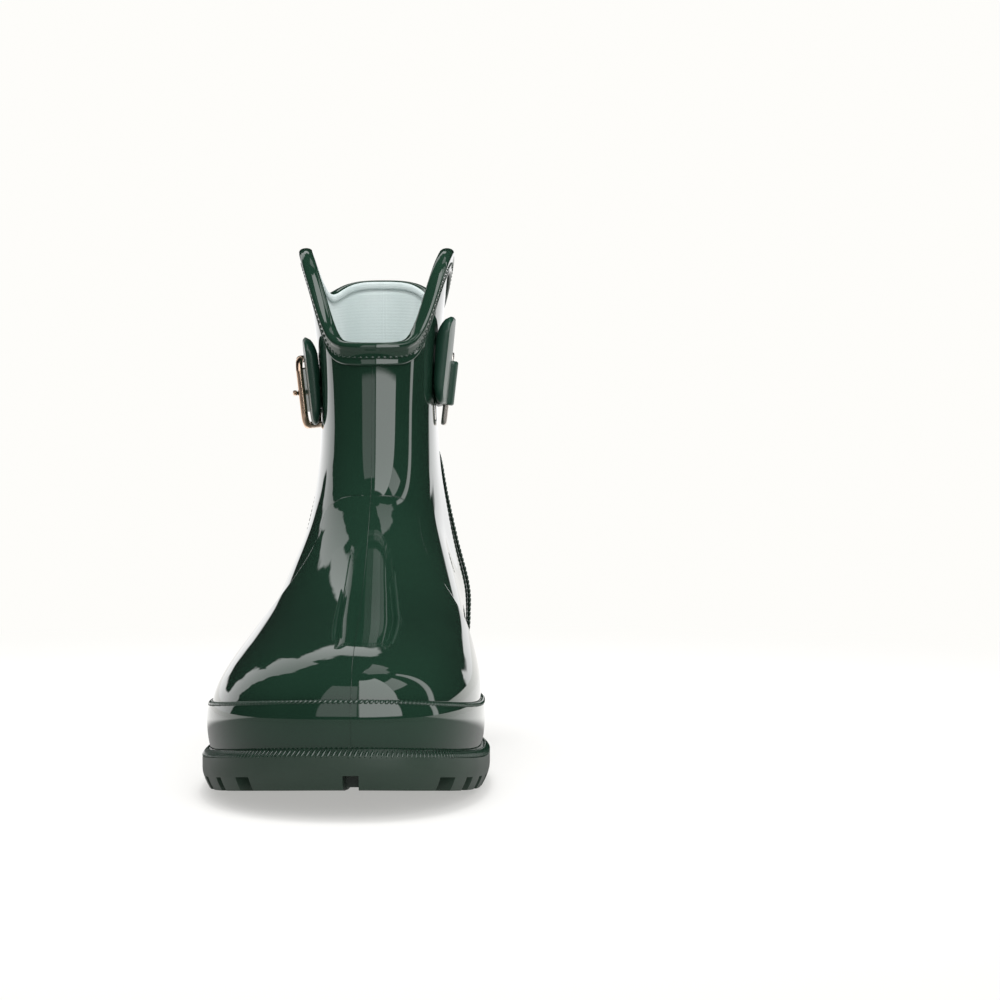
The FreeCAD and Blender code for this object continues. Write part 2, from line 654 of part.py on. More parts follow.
def make_ring_strap():
    outline = patch_outline(inner_patch_level, ring_front_y - 2.0, ring_strap_level, ring_front_y + 0.2,
                            ring_strap_level)
    tab = strap_piece(side_places(patch_front_y - 4, ring_front_y + 1.0, INNER), INNER, lambda y: patch_gap,
                      strap_thick, outline)
    fold = placed(local_tube(fold_radius, strap_width), ring_front_axes)
    bore = placed(local_tube(fold_bore, strap_width + 30), ring_front_axes)
    return only_solids(tab.fuse(fold).cut([bore] + rivet_cutters(INNER)))


def make_buckle_frame():
    """Upright loop: a thin rear bar that the strap folds round, two arms and a front bar further out."""
    wire, half, side = frame_wire, frame_height / 2, frame_height - 2 * frame_wire
    plate = Part.makeBox(40, frame_span + wire, frame_height, V(-20, -wire / 2, -half))
    corners = [e for e in plate.Edges if abs(e.tangentAt(e.FirstParameter).x) > 0.9]
    plate = plate.makeFillet(wire * 0.9, [e for e in corners if e.CenterOfMass.y < 0])
    corners = [e for e in plate.Edges if abs(e.tangentAt(e.FirstParameter).x) > 0.9 and e.CenterOfMass.y > 5
               and abs(e.Length - 40) < 0.1]
    plate = plate.makeFillet(wire * 2.0, corners)
    opening = Part.makeBox(50, frame_span + wire / 2, side, V(-25, -wire, -side / 2))
    ends = [e for e in opening.Edges if abs(e.tangentAt(e.FirstParameter).x) > 0.9 and e.CenterOfMass.y > 5]
    opening = opening.makeFillet(wire, ends)
    curve = [(0, -3), (0.15 * frame_rise, 0.2 * frame_span), (0.62 * frame_rise, 0.6 * frame_span),
             (frame_rise, frame_span), (frame_rise * 1.06, frame_span + 4)]
    slab = thick_line(curve, wire, frame_height + 10)
    bar = local_tube(bar_radius, frame_height - wire)
    return plate.cut(opening).common(slab).fuse(bar)


def make_prong():
    """Tongue pin of the buckle: a loop on the rear bar and a leg that rests on the front bar."""
    loop = local_tube(fold_bore + prong_loop_wall, prong_thick)
    over, reach = prong_over, frame_span
    line = [(1.2, 1.4), (3.0, 3.0), (over - 1.7, 5.8), (over - 0.3, 8.6), (over, 12.5)]
    line += [(over - 0.1, reach - 2.0), (over - 0.25, reach + 1.2)]
    leg = thick_line(line, prong_thick * 0.85, prong_thick)
    return loop.fuse(leg).cut(local_tube(fold_bore, prong_thick + 4))


def make_ring():
    """Plain upright loop held by the folds of the two straps at its two long bars."""
    rear, front = ring_rear_axes[0], ring_front_axes[0]
    up, span = ring_rear_axes[3], (front - rear).Length
    ahead = (front - rear).normalize()
    out = ahead.cross(up).normalize()
    wire, half = ring_wire, ring_height / 2
    plate = Part.makeBox(wire, span + wire, ring_height, V(-wire / 2, -wire / 2, -half))
    corners = [e for e in plate.Edges if abs(e.tangentAt(e.FirstParameter).x) > 0.9]
    plate = plate.makeFillet(wire * 1.2, corners)
    opening = Part.makeBox(wire * 2, span + 4 * wire, ring_height - 2 * wire, V(-wire, -2 * wire, -half + wire))
    bars = [local_tube(bar_radius, ring_height - wire).translated(V(0, y, 0)) for y in (0, span)]
    loop = plate.cut(opening).fuse(bars)
    lowered = rear - up * ((ring_strap_level - ring_level) / up.z)
    return placed(loop, (lowered, out, ahead, up))


def make_keeper():
    """Loop round both straps behind the buckle."""
    near, far = strap_gap - keeper_gap, tongue_on_strap + strap_thick + keeper_gap
    tall, middle = strap_width + 1.2 + 2 * keeper_gap, strap_level + 0.8
    places = side_places(keeper_y - keeper_width / 2, keeper_y + keeper_width / 2, OUTER, 4)
    sleeve = ribbon(places, middle - tall / 2 - keeper_wall, middle + tall / 2 + keeper_wall,
                    lambda y: near - keeper_wall, far - near + 2 * keeper_wall)
    wide = side_places(keeper_y - keeper_width, keeper_y + keeper_width, OUTER, 6)
    hollow = ribbon(wide, middle - tall / 2, middle + tall / 2, lambda y: near, far - near)
    return only_solids(sleeve.cut(hollow))


def keeper_centre():
    """Centre of the circle that the straps follow round the keeper, seen from above."""
    a, b, c = [leaning(*wall_place(keeper_y + step, OUTER), strap_gap, strap_level) for step in (-5, 0, 5)]
    ab, bc = (a + b) * 0.5, (b + c) * 0.5
    u, v = b - a, c - b
    det = u.x * v.y - u.y * v.x
    p, q = u.dot(ab), v.dot(bc)
    return V((p * v.y - q * u.y) / det, (u.x * q - v.x * p) / det, strap_level)


# ---------------------------------------------------------------- rivets
def rivet_places(side):
    """Where each rivet's axis meets the patch's inner face, and its outward direction."""
    level = outer_patch_level if side < 0 else inner_patch_level
    gap = tongue_gap(rivet_y) if side < 0 else patch_gap
    tilt = math.radians(strap_lean)
    places = []
    for shift in (-rivet_pitch / 2, rivet_pitch / 2):
        point, out = wall_place(rivet_y, side)
        places.append((leaning(point, out, gap, level + shift), out * math.cos(tilt) - V(0, 0, math.sin(tilt))))
    return places


def depth_to(middle, axis, inset):
    """Distance inwards along a rivet's axis to a face this far inside the shell's outer face."""
    side = 1 if middle.x > 0 else -1
    depth = 0.0
    while abs((middle - axis * depth).x) > half_width((middle - axis * depth).y, middle.z, side) - inset:
        depth += 0.02
    return depth


inner_face_inset = shell_wall + skin_gap + lining_wall


def rivet_cutters(side):
    return [Part.makeCylinder(rivet_radius + skin_gap, 60, middle - axis * 30, axis)
            for middle, axis in rivet_places(side)]


def make_rivets(side):
    """Cap on the patch and a shank through to the washer inside, its end headed over."""
    shapes = []
    for middle, axis in rivet_places(side):
        inside = depth_to(middle, axis, inner_face_inset) + washer_gap + washer_thick
        reach = strap_thick + skin_gap + seat_gap
        shank = Part.makeCylinder(rivet_radius, inside + reach, middle - axis * inside, axis)
        head = Part.makeCylinder(rivet_radius * 1.5, 0.7, middle - axis * (inside + 0.7), axis)
        cap = Part.makeCylinder(rivet_cap_radius, rivet_cap_height, middle + axis * reach, axis)
        rim = [e for e in cap.Edges if e.Closed and (e.CenterOfMass - middle).dot(axis) > strap_thick + 0.5]
        cap = cap.makeFillet(rivet_cap_height * 0.7, rim)
        shapes.append(shank.fuse([head, cap]))
    return Part.makeCompound(shapes)


def tube_along(middle, axis, start, height, radius, bore):
    outer = Part.makeCylinder(radius, height, middle - axis * start, axis)
    return outer.cut(Part.makeCylinder(bore, height + 4, middle - axis * (start + 2), axis))


def make_spacers():
    """Collars that keep the patches off the wall round each rivet."""
    shapes = []
    for side in (OUTER, INNER):
        for middle, axis in rivet_places(side):
            depth = depth_to(middle, axis, -0.25)
            shapes.append(tube_along(middle, axis, depth, depth - skin_gap, spacer_radius, rivet_radius + skin_gap))
    return Part.makeCompound(shapes)


def make_washers():
    shapes = []
    for side in (OUTER, INNER):
        for middle, axis in rivet_places(side):
            depth = depth_to(middle, axis, inner_face_inset) + washer_gap + washer_thick
            shapes.append(tube_along(middle, axis, depth, washer_thick, washer_radius, rivet_radius + skin_gap))
    return Part.makeCompound(shapes)


# ---------------------------------------------------------------- the pieces
overlay_blank = overlay_skin()
all_rivets = rivet_cutters(OUTER) + rivet_cutters(INNER)
pieces = {
    "outsole": make_outsole(),
    "welt_strip": make_welt(),
    "foxing_band": make_foxing(),
    "upper_shell": only_solids(make_upper().cut(all_rivets)),
    "vamp_overlay": make_vamp(overlay_blank),
    "heel_counter": make_counter(overlay_blank),
    "collar_binding": make_binding(),
    "lining_sock": only_solids(make_lining().cut(all_rivets)),
    "insole_board": make_board(),
    "insole": make_insole(),
    "back_strap": make_back_strap(),
    "buckle_strap": make_buckle_strap(),
    "ring_strap": make_ring_strap(),
    "buckle_frame": placed(make_buckle_frame(), buckle_axes),
    "buckle_prong": placed(make_prong(), buckle_axes),
    "side_ring": make_ring(),
    "strap_keeper": make_keeper(),
    "outer_rivets": make_rivets(OUTER),
    "inner_rivets": make_rivets(INNER),
    "rivet_spacers": make_spacers(),
    "rivet_washers": make_washers(),
}

os.makedirs("parts", exist_ok=True)
for name, shape in pieces.items():
    shape.exportStep("parts/%s.step" % name)
    print("%-15s solids %d  valid %s  volume %.0f mm3" % (name, len(shape.Solids), shape.isValid(), shape.Volume))
print("keeper centre", [round(v, 3) for v in keeper_centre()])
print("buckle axis", [round(v, 3) for v in buckle_axes[0]], [round(v, 5) for v in buckle_axes[3]])
print("ring axis", [round(v, 3) for v in ring_rear_axes[0]], [round(v, 5) for v in ring_rear_axes[3]])
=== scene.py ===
import math

import bmesh
import bpy
import numpy as np
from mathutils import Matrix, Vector
from mathutils.kdtree import KDTree


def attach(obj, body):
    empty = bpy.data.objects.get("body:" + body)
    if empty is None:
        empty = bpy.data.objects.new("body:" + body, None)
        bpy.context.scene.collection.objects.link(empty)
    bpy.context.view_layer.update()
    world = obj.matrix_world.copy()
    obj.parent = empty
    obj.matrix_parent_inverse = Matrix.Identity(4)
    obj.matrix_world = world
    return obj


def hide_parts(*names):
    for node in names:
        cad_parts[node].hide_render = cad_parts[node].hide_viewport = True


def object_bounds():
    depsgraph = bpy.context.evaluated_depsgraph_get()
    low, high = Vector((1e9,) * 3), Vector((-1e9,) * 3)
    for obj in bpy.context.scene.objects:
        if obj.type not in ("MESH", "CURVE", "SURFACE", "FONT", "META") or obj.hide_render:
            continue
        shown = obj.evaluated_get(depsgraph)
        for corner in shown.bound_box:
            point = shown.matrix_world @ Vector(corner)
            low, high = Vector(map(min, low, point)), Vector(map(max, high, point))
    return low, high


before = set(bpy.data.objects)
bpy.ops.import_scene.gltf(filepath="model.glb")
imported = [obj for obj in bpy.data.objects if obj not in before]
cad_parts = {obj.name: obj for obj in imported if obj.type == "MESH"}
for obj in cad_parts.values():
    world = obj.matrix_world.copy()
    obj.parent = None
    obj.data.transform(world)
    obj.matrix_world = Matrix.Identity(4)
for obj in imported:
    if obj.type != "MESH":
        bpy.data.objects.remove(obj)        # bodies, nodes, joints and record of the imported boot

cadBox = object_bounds()
mm = 0.001
print("frame loaded:", len(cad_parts), "nodes")


# the last that every skin of the boot follows, in millimetres
lastShape = {
    # level, toe end y, heel end y, half widths (outer, inner) at ball, waist, heel, rounding of toe and heel
    "levels": [
        (12, -200.4, 53.6, 53.0, 40.9, 38.0, 33.0, 33.0, 33.0, 89, 43),
        (22, -201.2, 54.4, 53.5, 41.3, 39.0, 34.2, 34.4, 34.4, 89, 43),
        (31, -200.2, 54.6, 53.2, 41.5, 39.8, 35.2, 35.2, 35.2, 89, 43),
        (38, -197.0, 54.3, 51.0, 41.2, 39.8, 35.8, 35.5, 35.8, 88, 43),
        (44, -191.6, 53.6, 47.8, 40.1, 39.4, 36.0, 35.6, 36.0, 87, 43),
        (50, -182.0, 52.4, 43.9, 38.6, 38.6, 36.0, 35.4, 36.1, 84, 43),
        (56, -167.0, 51.0, 39.8, 37.0, 37.4, 35.6, 35.0, 36.0, 80, 42.5),
        (62, -148.5, 49.4, 36.2, 35.2, 35.8, 34.8, 34.2, 35.4, 76, 42),
        (69, -128.0, 47.6, 33.0, 32.8, 33.4, 32.8, 33.0, 34.2, 70, 42),
        (78, -106.0, 45.7, 29.8, 29.8, 30.2, 30.0, 31.0, 32.2, 62, 42),
        (88, -86.5, 44.2, 26.9, 27.0, 27.0, 27.2, 28.7, 30.0, 56, 42),
        (100, -70.0, 43.2, 24.4, 24.6, 24.3, 24.8, 26.2, 27.6, 51, 43),
        (114, -59.5, 43.0, 22.7, 23.1, 22.6, 23.2, 24.0, 25.4, 48, 44),
        (130, -54.6, 44.0, 22.1, 22.7, 22.1, 22.8, 22.9, 24.2, 48, 45),
        (150, -52.8, 46.2, 22.9, 23.3, 22.9, 23.4, 23.6, 24.3, 49, 46),
        (168, -53.0, 48.5, 24.7, 24.8, 24.7, 24.9, 25.3, 25.7, 51, 48),
        (185, -54.0, 50.5, 27.4, 26.9, 27.4, 27.0, 28.0, 27.5, 53, 49),
        (203, -55.4, 52.0, 30.4, 29.3, 30.5, 29.4, 30.9, 29.9, 55, 50),
        (216, -56.0, 52.6, 31.6, 30.4, 31.7, 30.5, 32.0, 31.0, 56, 51),
    ],
    "ball": -108.0, "waist": -45.0, "heel": 12.0,
    "toeRound": 2.35, "heelRound": 2.3,
    "heelRise": 13.0, "heelStart": -85, "heelRun": 75,
    "toeSpring": 10.3, "springStart": 3, "springPower": 1.7, "toeTip": -206.0,
    # between these levels the skins turn from parallel to the footbed to level
    "shearLow": 18, "shearRun": 68,
}


def spline(xs, ys):
    xs, ys = np.array(xs, float), np.array(ys, float)
    n, h = len(xs), np.diff(xs)
    a, r = np.eye(n), np.zeros(n)
    for i in range(1, n - 1):
        a[i, i - 1:i + 2] = h[i - 1], 2 * (h[i - 1] + h[i]), h[i]
        r[i] = 6 * ((ys[i + 1] - ys[i]) / h[i] - (ys[i] - ys[i - 1]) / h[i - 1])
    bend = np.linalg.solve(a, r)

    def value(x):
        x = np.clip(x, xs[0], xs[-1])
        i = np.clip(np.searchsorted(xs, x, side="right") - 1, 0, n - 2)
        p, q = (xs[i + 1] - x) / h[i], (x - xs[i]) / h[i]
        curve = ((p ** 3 - p) * bend[i] + (q ** 3 - q) * bend[i + 1]) * h[i] ** 2 / 6
        return p * ys[i] + q * ys[i + 1] + curve

    return value


def smoothStep(t):
    t = np.clip(t, 0, 1)
    return t * t * (3 - 2 * t)


levelHeights = [row[0] for row in lastShape["levels"]]
lastColumn = [spline(levelHeights, [row[i] for row in lastShape["levels"]]) for i in range(1, 11)]


def treadLift(y):
    ball = lastShape["ball"] + lastShape["springStart"]
    ahead = np.maximum(0, (ball - y) / (ball - lastShape["toeTip"]))
    return lastShape["toeSpring"] * ahead ** lastShape["springPower"]


def lift(y):
    rise = smoothStep((y - lastShape["heelStart"]) / lastShape["heelRun"])
    return treadLift(y) + lastShape["heelRise"] * rise


def sheared(y, z):
    return z + lift(y) * (1 - smoothStep((z - lastShape["shearLow"]) / lastShape["shearRun"]))


def halfWidth(y, z, side):
    front, back = lastColumn[0](z), lastColumn[1](z)
    at = lastShape
    foreShare = smoothStep((y - at["ball"]) / (at["waist"] - at["ball"]))
    rearShare = smoothStep((y - at["waist"]) / (at["heel"] - at["waist"]))
    wide = []
    for pick in (0, 1):
        ball, waist, heel = (lastColumn[k + pick](z) for k in (2, 4, 6))
        fore, rear = ball + (waist - ball) * foreShare, waist + (heel - waist) * rearShare
        wide.append(np.where(y < at["waist"], fore, rear))
    wide = np.where(side < 0, wide[0], wide[1])
    toe = np.clip(1 - (y - front) / lastColumn[8](z), 0, 1)
    end = np.clip(1 - (back - y) / lastColumn[9](z), 0, 1)
    p, q = lastShape["toeRound"], lastShape["heelRound"]
    return wide * (1 - toe ** p) ** (1 / p) * (1 - end ** q) ** (1 / q)


def surface(phi, z):
    # phi runs from the toe over the inner side to the heel and back along the outer side
    phi, z = np.broadcast_arrays(np.asarray(phi, float), np.asarray(z, float))
    front, back = lastColumn[0](z), lastColumn[1](z)
    y = (front + back) / 2 - (back - front) / 2 * np.cos(phi)
    side = np.where(np.sin(phi) >= 0, 1.0, -1.0)
    return np.stack([side * halfWidth(y, z, side), y, sheared(y, z)], axis=-1)


def surfaceNormal(phi, z):
    across = surface(phi + 0.03, z) - surface(phi - 0.03, z)
    up = surface(phi, z + 0.4) - surface(phi, z - 0.4)
    n = np.cross(across, up)
    return n / np.linalg.norm(n, axis=-1, keepdims=True)


def skinPoint(phi, z, offset):
    phi, z, offset = np.broadcast_arrays(*(np.asarray(v, float) for v in (phi, z, offset)))
    return surface(phi, z) + surfaceNormal(phi, z) * offset[..., None]


def phiAt(y, z):
    front, back = lastColumn[0](z), lastColumn[1](z)
    return np.arccos(np.clip(((front + back) / 2 - y) / ((back - front) / 2), -1, 1))


def gridFaces(rows, cols, closeRows, closeCols):
    faces = []
    for r in range(rows if closeRows else rows - 1):
        for c in range(cols if closeCols else cols - 1):
            r2, c2 = (r + 1) % rows, (c + 1) % cols
            faces.append((r * cols + c, r * cols + c2, r2 * cols + c2, r2 * cols + c))
    return faces


def addMesh(name, points, faces, smooth=True):
    mesh = bpy.data.meshes.new(name)
    mesh.from_pydata((np.asarray(points).reshape(-1, 3) * mm).tolist(), [], faces)
    mesh.validate()
    if smooth:
        mesh.shade_smooth()
    piece = bpy.data.objects.new(name, mesh)
    bpy.context.scene.collection.objects.link(piece)
    return piece


def ringPiece(name, rows):
    # a closed skin: rows go once round its wall's section, each row is a ring round the boot
    points = np.array(rows)
    return addMesh(name, points, gridFaces(points.shape[0], points.shape[1], True, True))


def slabPiece(name, first, second, alongFirst=False, smooth=True):
    # a closed slab between two grids of points; alongFirst tells which way its faces run
    n, m = first.shape[:2]
    step = n * m
    grid = gridFaces(n, m, False, False)
    edge = list(range(m)) + [r * m + m - 1 for r in range(1, n)]
    edge += [(n - 1) * m + c for c in range(m - 2, -1, -1)] + [r * m for r in range(n - 2, 0, -1)]
    sides = zip(edge, edge[1:] + edge[:1])
    if alongFirst:
        faces = grid + [tuple(v + step for v in f[::-1]) for f in grid]
        faces += [(b, a, a + step, b + step) for a, b in sides]
    else:
        faces = [f[::-1] for f in grid] + [tuple(v + step for v in f) for f in grid]
        faces += [(a, b, b + step, a + step) for a, b in sides]
    return addMesh(name, np.concatenate([first.reshape(-1, 3), second.reshape(-1, 3)]), faces, smooth)


def finishPiece(piece, material, body, replaced=()):
    piece.data.materials.clear()
    piece.data.materials.append(material)
    if replaced:
        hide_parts(*replaced)
    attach(piece, body)
    return piece


def ringAngles(count):
    return np.arange(count) * 2 * math.pi / count


# materials


def newMaterial(name, **values):
    material = bpy.data.materials.new(name)
    material.use_nodes = True
    shader = material.node_tree.nodes["Principled BSDF"]
    for key, value in values.items():
        shader.inputs[key].default_value = value
    return material, material.node_tree, shader


def node(tree, kind, **values):
    made = tree.nodes.new(kind)
    for key, value in values.items():
        if key in made.inputs:
            made.inputs[key].default_value = value
        else:
            setattr(made, key, value)
    return made


def join(source, output, target, socket):
    target.id_data.links.new(source.outputs[output], target.inputs[socket])


def mappedNoise(tree, scale, detail=3.0, stretch=(1, 1, 1)):
    place = node(tree, "ShaderNodeTexCoord")
    mapping = node(tree, "ShaderNodeMapping")
    mapping.inputs["Scale"].default_value = stretch
    noise = node(tree, "ShaderNodeTexNoise", Scale=scale, Detail=detail)
    join(place, "Object", mapping, "Vector")
    join(mapping, "Vector", noise, "Vector")
    return noise


def colourRamp(tree, source, stops):
    ramp = tree.nodes.new("ShaderNodeValToRGB")
    for stop, (place, colour) in zip(ramp.color_ramp.elements, (stops[0], stops[-1])):
        stop.position, stop.color = place, (*colour, 1)
    tree.links.new(source, ramp.inputs["Fac"])
    return ramp


def bumpInto(tree, shader, source, strength, distance, before=None):
    bump = node(tree, "ShaderNodeBump", Strength=strength, Distance=distance)
    tree.links.new(source, bump.inputs["Height"])
    if before:
        join(before, "Normal", bump, "Normal")
    join(bump, "Normal", shader, "Normal")
    return bump


def rangeOf(tree, source, low, high):
    spread = node(tree, "ShaderNodeMapRange")
    spread.inputs["To Min"].default_value = low
    spread.inputs["To Max"].default_value = high
    tree.links.new(source, spread.inputs["Value"])
    return spread.outputs["Result"]


rubberLook = {
    "deep": (0.0075, 0.0235, 0.0145), "light": (0.0105, 0.031, 0.019),
    "gloss": (0.018, 0.05), "wave": 0.05, "waveScale": 30.0, "pits": 0.012,
}
matRubber = {
    "sole": ((0.017, 0.034, 0.023), (0.026, 0.047, 0.034), (0.26, 0.40), 0.05, 0.08),
    "strap": ((0.007, 0.034, 0.021), (0.011, 0.047, 0.030), (0.26, 0.38), 0.04, 0.12),
}


def glossRubber(name, deep, light, gloss, wave, coat=0.6):
    material, tree, shader = newMaterial(name, **{
        "IOR": 1.52, "Specular IOR Level": 0.5, "Coat Weight": coat, "Coat Roughness": 0.012, "Coat IOR": 1.5})
    cloud = mappedNoise(tree, 14.0, 4.0)
    tone = colourRamp(tree, cloud.outputs["Fac"], [(0.3, deep), (0.72, light)])
    join(tone, "Color", shader, "Base Color")
    haze = mappedNoise(tree, 60.0, 5.0)
    tree.links.new(rangeOf(tree, haze.outputs["Fac"], *gloss), shader.inputs["Roughness"])
    swell = mappedNoise(tree, rubberLook["waveScale"], 1.0)
    first = bumpInto(tree, shader, swell.outputs["Fac"], wave, 0.004)
    grain = mappedNoise(tree, 900.0, 2.0)
    bumpInto(tree, shader, grain.outputs["Fac"], rubberLook["pits"], 0.0002, first)
    return material


glossGreen = glossRubber("glossGreenRubber", rubberLook["deep"], rubberLook["light"], rubberLook["gloss"],
                         rubberLook["wave"])
soleGreen = glossRubber("soleGreenRubber", *matRubber["sole"])
strapGreen = glossRubber("strapGreenRubber", *matRubber["strap"])


def knitLining():
    material, tree, shader = newMaterial("paleKnitLining", **{
        "Roughness": 0.85, "Sheen Weight": 0.35, "Sheen Roughness": 0.5, "Specular IOR Level": 0.25})
    uv = node(tree, "ShaderNodeUVMap")
    uv.uv_map = "cloth"
    wales = node(tree, "ShaderNodeTexWave", Scale=0.42, Distortion=1.2, Detail=2.0)
    wales.bands_direction = "X"
    courses = node(tree, "ShaderNodeTexWave", Scale=0.5, Distortion=2.0, Detail=1.0)
    courses.bands_direction = "Y"
    for wave in (wales, courses):
        join(uv, "UV", wave, "Vector")
    both = node(tree, "ShaderNodeMath", operation="MULTIPLY")
    join(wales, "Fac", both, 0)
    join(courses, "Fac", both, 1)
    cloud = mappedNoise(tree, 45.0, 5.0, (1, 1, 0.25))
    tone = colourRamp(tree, cloud.outputs["Fac"], [(0.3, (0.66, 0.76, 0.745)), (0.7, (0.80, 0.88, 0.87))])
    mix = node(tree, "ShaderNodeMix", data_type="RGBA", blend_type="MULTIPLY")
    mix.inputs["Factor"].default_value = 0.22
    tree.links.new(tone.outputs["Color"], mix.inputs["A"])
    tree.links.new(both.outputs["Value"], mix.inputs["B"])
    join(mix, "Result", shader, "Base Color")
    bumpInto(tree, shader, both.outputs["Value"], 0.5, 0.0003)
    return material


def metalLook(name, colour, rough):
    material, tree, shader = newMaterial(name, **{"Metallic": 1.0})
    cloud = mappedNoise(tree, 120.0, 3.0)
    warm = tuple(min(1.0, c * 1.12) for c in colour)
    tone = colourRamp(tree, cloud.outputs["Fac"], [(0.35, colour), (0.7, warm)])
    join(tone, "Color", shader, "Base Color")
    smear = mappedNoise(tree, 260.0, 4.0, (1, 4, 1))
    tree.links.new(rangeOf(tree, smear.outputs["Fac"], rough * 0.6, rough * 1.6), shader.inputs["Roughness"])
    bumpInto(tree, shader, smear.outputs["Fac"], 0.05, 0.0001)
    return material


liningKnit = knitLining()
roseMetal = metalLook("roseGoldPlate", (0.86, 0.62, 0.46), 0.14)
plainMetal = metalLook("platedSteel", (0.72, 0.68, 0.64), 0.18)


def matLook(name, scale, detail, stretch, stops, bump, **values):
    material, tree, shader = newMaterial(name, Roughness=0.9, **values)
    grain = mappedNoise(tree, scale, detail, stretch)
    tone = colourRamp(tree, grain.outputs["Fac"], stops)
    join(tone, "Color", shader, "Base Color")
    bumpInto(tree, shader, grain.outputs["Fac"], bump, 0.0003)
    return material


insoleCloth = matLook("insoleCloth", 1400.0, 2.0, (1, 1, 1),
                      [(0.35, (0.30, 0.36, 0.35)), (0.65, (0.42, 0.49, 0.48))], 0.4, **{"Sheen Weight": 0.3})
boardFibre = matLook("pressedBoard", 300.0, 5.0, (1, 0.2, 1),
                     [(0.3, (0.28, 0.21, 0.14)), (0.7, (0.42, 0.33, 0.24))], 0.3)
print("materials ready")


# edges that the skins share

collarShape = {"y": [-75, -58, -49, -42, -34, -26, -16, -5, 6, 18, 28, 38, 48, 60, 75],
               "z": [161, 160.5, 161.2, 165.5, 177, 189.5, 197.6, 200, 197.4, 188.8, 183.6, 185.2, 189.2, 191,
                   191]}
collarHeight = spline(collarShape["y"], collarShape["z"])

vampShape = {"z": [16, 30, 42, 53, 63, 71.5, 78.2, 84.6, 90.2, 95, 98.6, 101.6, 103.2, 103.6],
             "y": [-109, -107, -104.6, -101.8, -98, -93, -86.6, -78.6, -70.8, -64.6, -62.6, -64, -67, -69.5],
             "thick": 1.0, "round": 0.7}
counterShape = {"z": [22, 34, 46, 62, 80, 95, 108, 117.5, 124, 127.4, 128.6],
                "y": [-6, -2, 3, 7, 9, 10.2, 12.2, 17, 28, 44, 60], "thick": 1.0, "round": 0.7}


def collarLevel(phi):
    z = np.full_like(phi, 180.0)
    for step in range(25):
        z = 0.5 * z + 0.5 * collarHeight(surface(phi, z)[..., 1])
    return z


def shaftRows(angles, low, drop, count, bend=150.0):
    # levels of rows: even below bend, then fanned out to the collar line
    top = collarLevel(angles) - drop
    lower = np.linspace(low, bend, int((bend - low) / 1.6))
    rows = [np.full_like(angles, z) for z in lower[:-1]]
    rows += [bend + (top - bend) * t for t in np.linspace(0, 1, count)]
    return rows


# upper, lining

upperShape = {"wall": 2.2, "columns": 300, "rim": 0.35}
liningShape = {"outside": -2.25, "inside": -3.1, "columns": 220, "girth": 310.0}
angles = ringAngles(upperShape["columns"])
outerRows = shaftRows(angles, 11.8, 0.3, 26)
innerRows = outerRows[::-2]
upperPoints = [skinPoint(angles, z, 0.0) for z in outerRows]
upperPoints += [skinPoint(angles, collarLevel(angles), -upperShape["rim"])]
upperPoints += [skinPoint(angles, collarLevel(angles), -upperShape["wall"] + upperShape["rim"])]
upperPoints += [skinPoint(angles, z, -upperShape["wall"]) for z in innerRows]
upperSkin = ringPiece("upperShell", upperPoints)
finishPiece(upperSkin, glossGreen, "root", ["upper_shell"])

liningAngles = ringAngles(liningShape["columns"])
liningOuter = shaftRows(liningAngles, 11.9, 0.4, 18)[::-2][::-1]
liningPoints = [skinPoint(liningAngles, z, liningShape["outside"]) for z in liningOuter]
liningPoints += [skinPoint(liningAngles, z, liningShape["inside"]) for z in liningOuter[::-1]]
liningSock = ringPiece("liningSock", liningPoints)
clothMap = liningSock.data.uv_layers.new(name="cloth")
clothStep = liningShape["girth"] / liningShape["columns"]
for loop in liningSock.data.loops:
    column = loop.vertex_index % liningShape["columns"]
    height = liningSock.data.vertices[loop.vertex_index].co.z * 1000
    clothMap.data[loop.index].uv = (column * clothStep, height)
finishPiece(liningSock, liningKnit, "root", ["lining_sock"])
print("upper and lining done")


def overlay(name, shape, angleSpan, levels, columns):
    # a raised layer: its edge is rounded down onto the shell
    crowd = 0.35            # how far the columns draw closer at the edges
    place = 0.5 - 0.5 * np.cos(np.linspace(0, math.pi, columns)) * crowd
    place = place - 0.5 * (1 - crowd) * (1 - 2 * np.linspace(0, 1, columns))
    phi = np.array([low + (high - low) * place for low, high in map(angleSpan, levels)])
    z = np.repeat(np.array(levels)[:, None], columns, axis=1)
    flat = surface(phi, z)
    rim = np.concatenate([flat[:, 0], flat[:, -1], flat[-1]])
    tree = KDTree(len(rim))
    for i, p in enumerate(rim):
        tree.insert(p, i)
    tree.balance()
    away = np.array([tree.find(p)[2] for p in flat.reshape(-1, 3)]).reshape(phi.shape)
    t = np.clip(away / shape["round"], 0, 1)
    height = shape["thick"] * np.sqrt(1 - (1 - t) ** 2)
    return slabPiece(name, skinPoint(phi, z, height), skinPoint(phi, z, -0.25), alongFirst=True)


vampEdgeY = spline(vampShape["z"], vampShape["y"])
counterEdgeY = spline(counterShape["z"], counterShape["y"])


def edgeAngle(edgeY, z):
    y = edgeY(z)
    for step in range(6):
        y = edgeY(sheared(y, z))
    return phiAt(y, z)


def closingLevel(edgeY, low, high, endColumn):
    # level where the edge's two sides meet on the middle line
    for step in range(40):
        middle = (low + high) / 2
        if (edgeY(middle) - lastColumn[endColumn](middle)) * (1 if endColumn == 0 else -1) > 0:
            low = middle
        else:
            high = middle
    return (low + high) / 2


def fannedLevels(low, bend, top, count):
    # even levels up to bend, then closer and closer up to the top
    fan = np.sin(np.linspace(0.05, 1, count) * math.pi / 2)
    return list(np.linspace(low, bend, 60)) + list(bend + (top - bend) * fan)


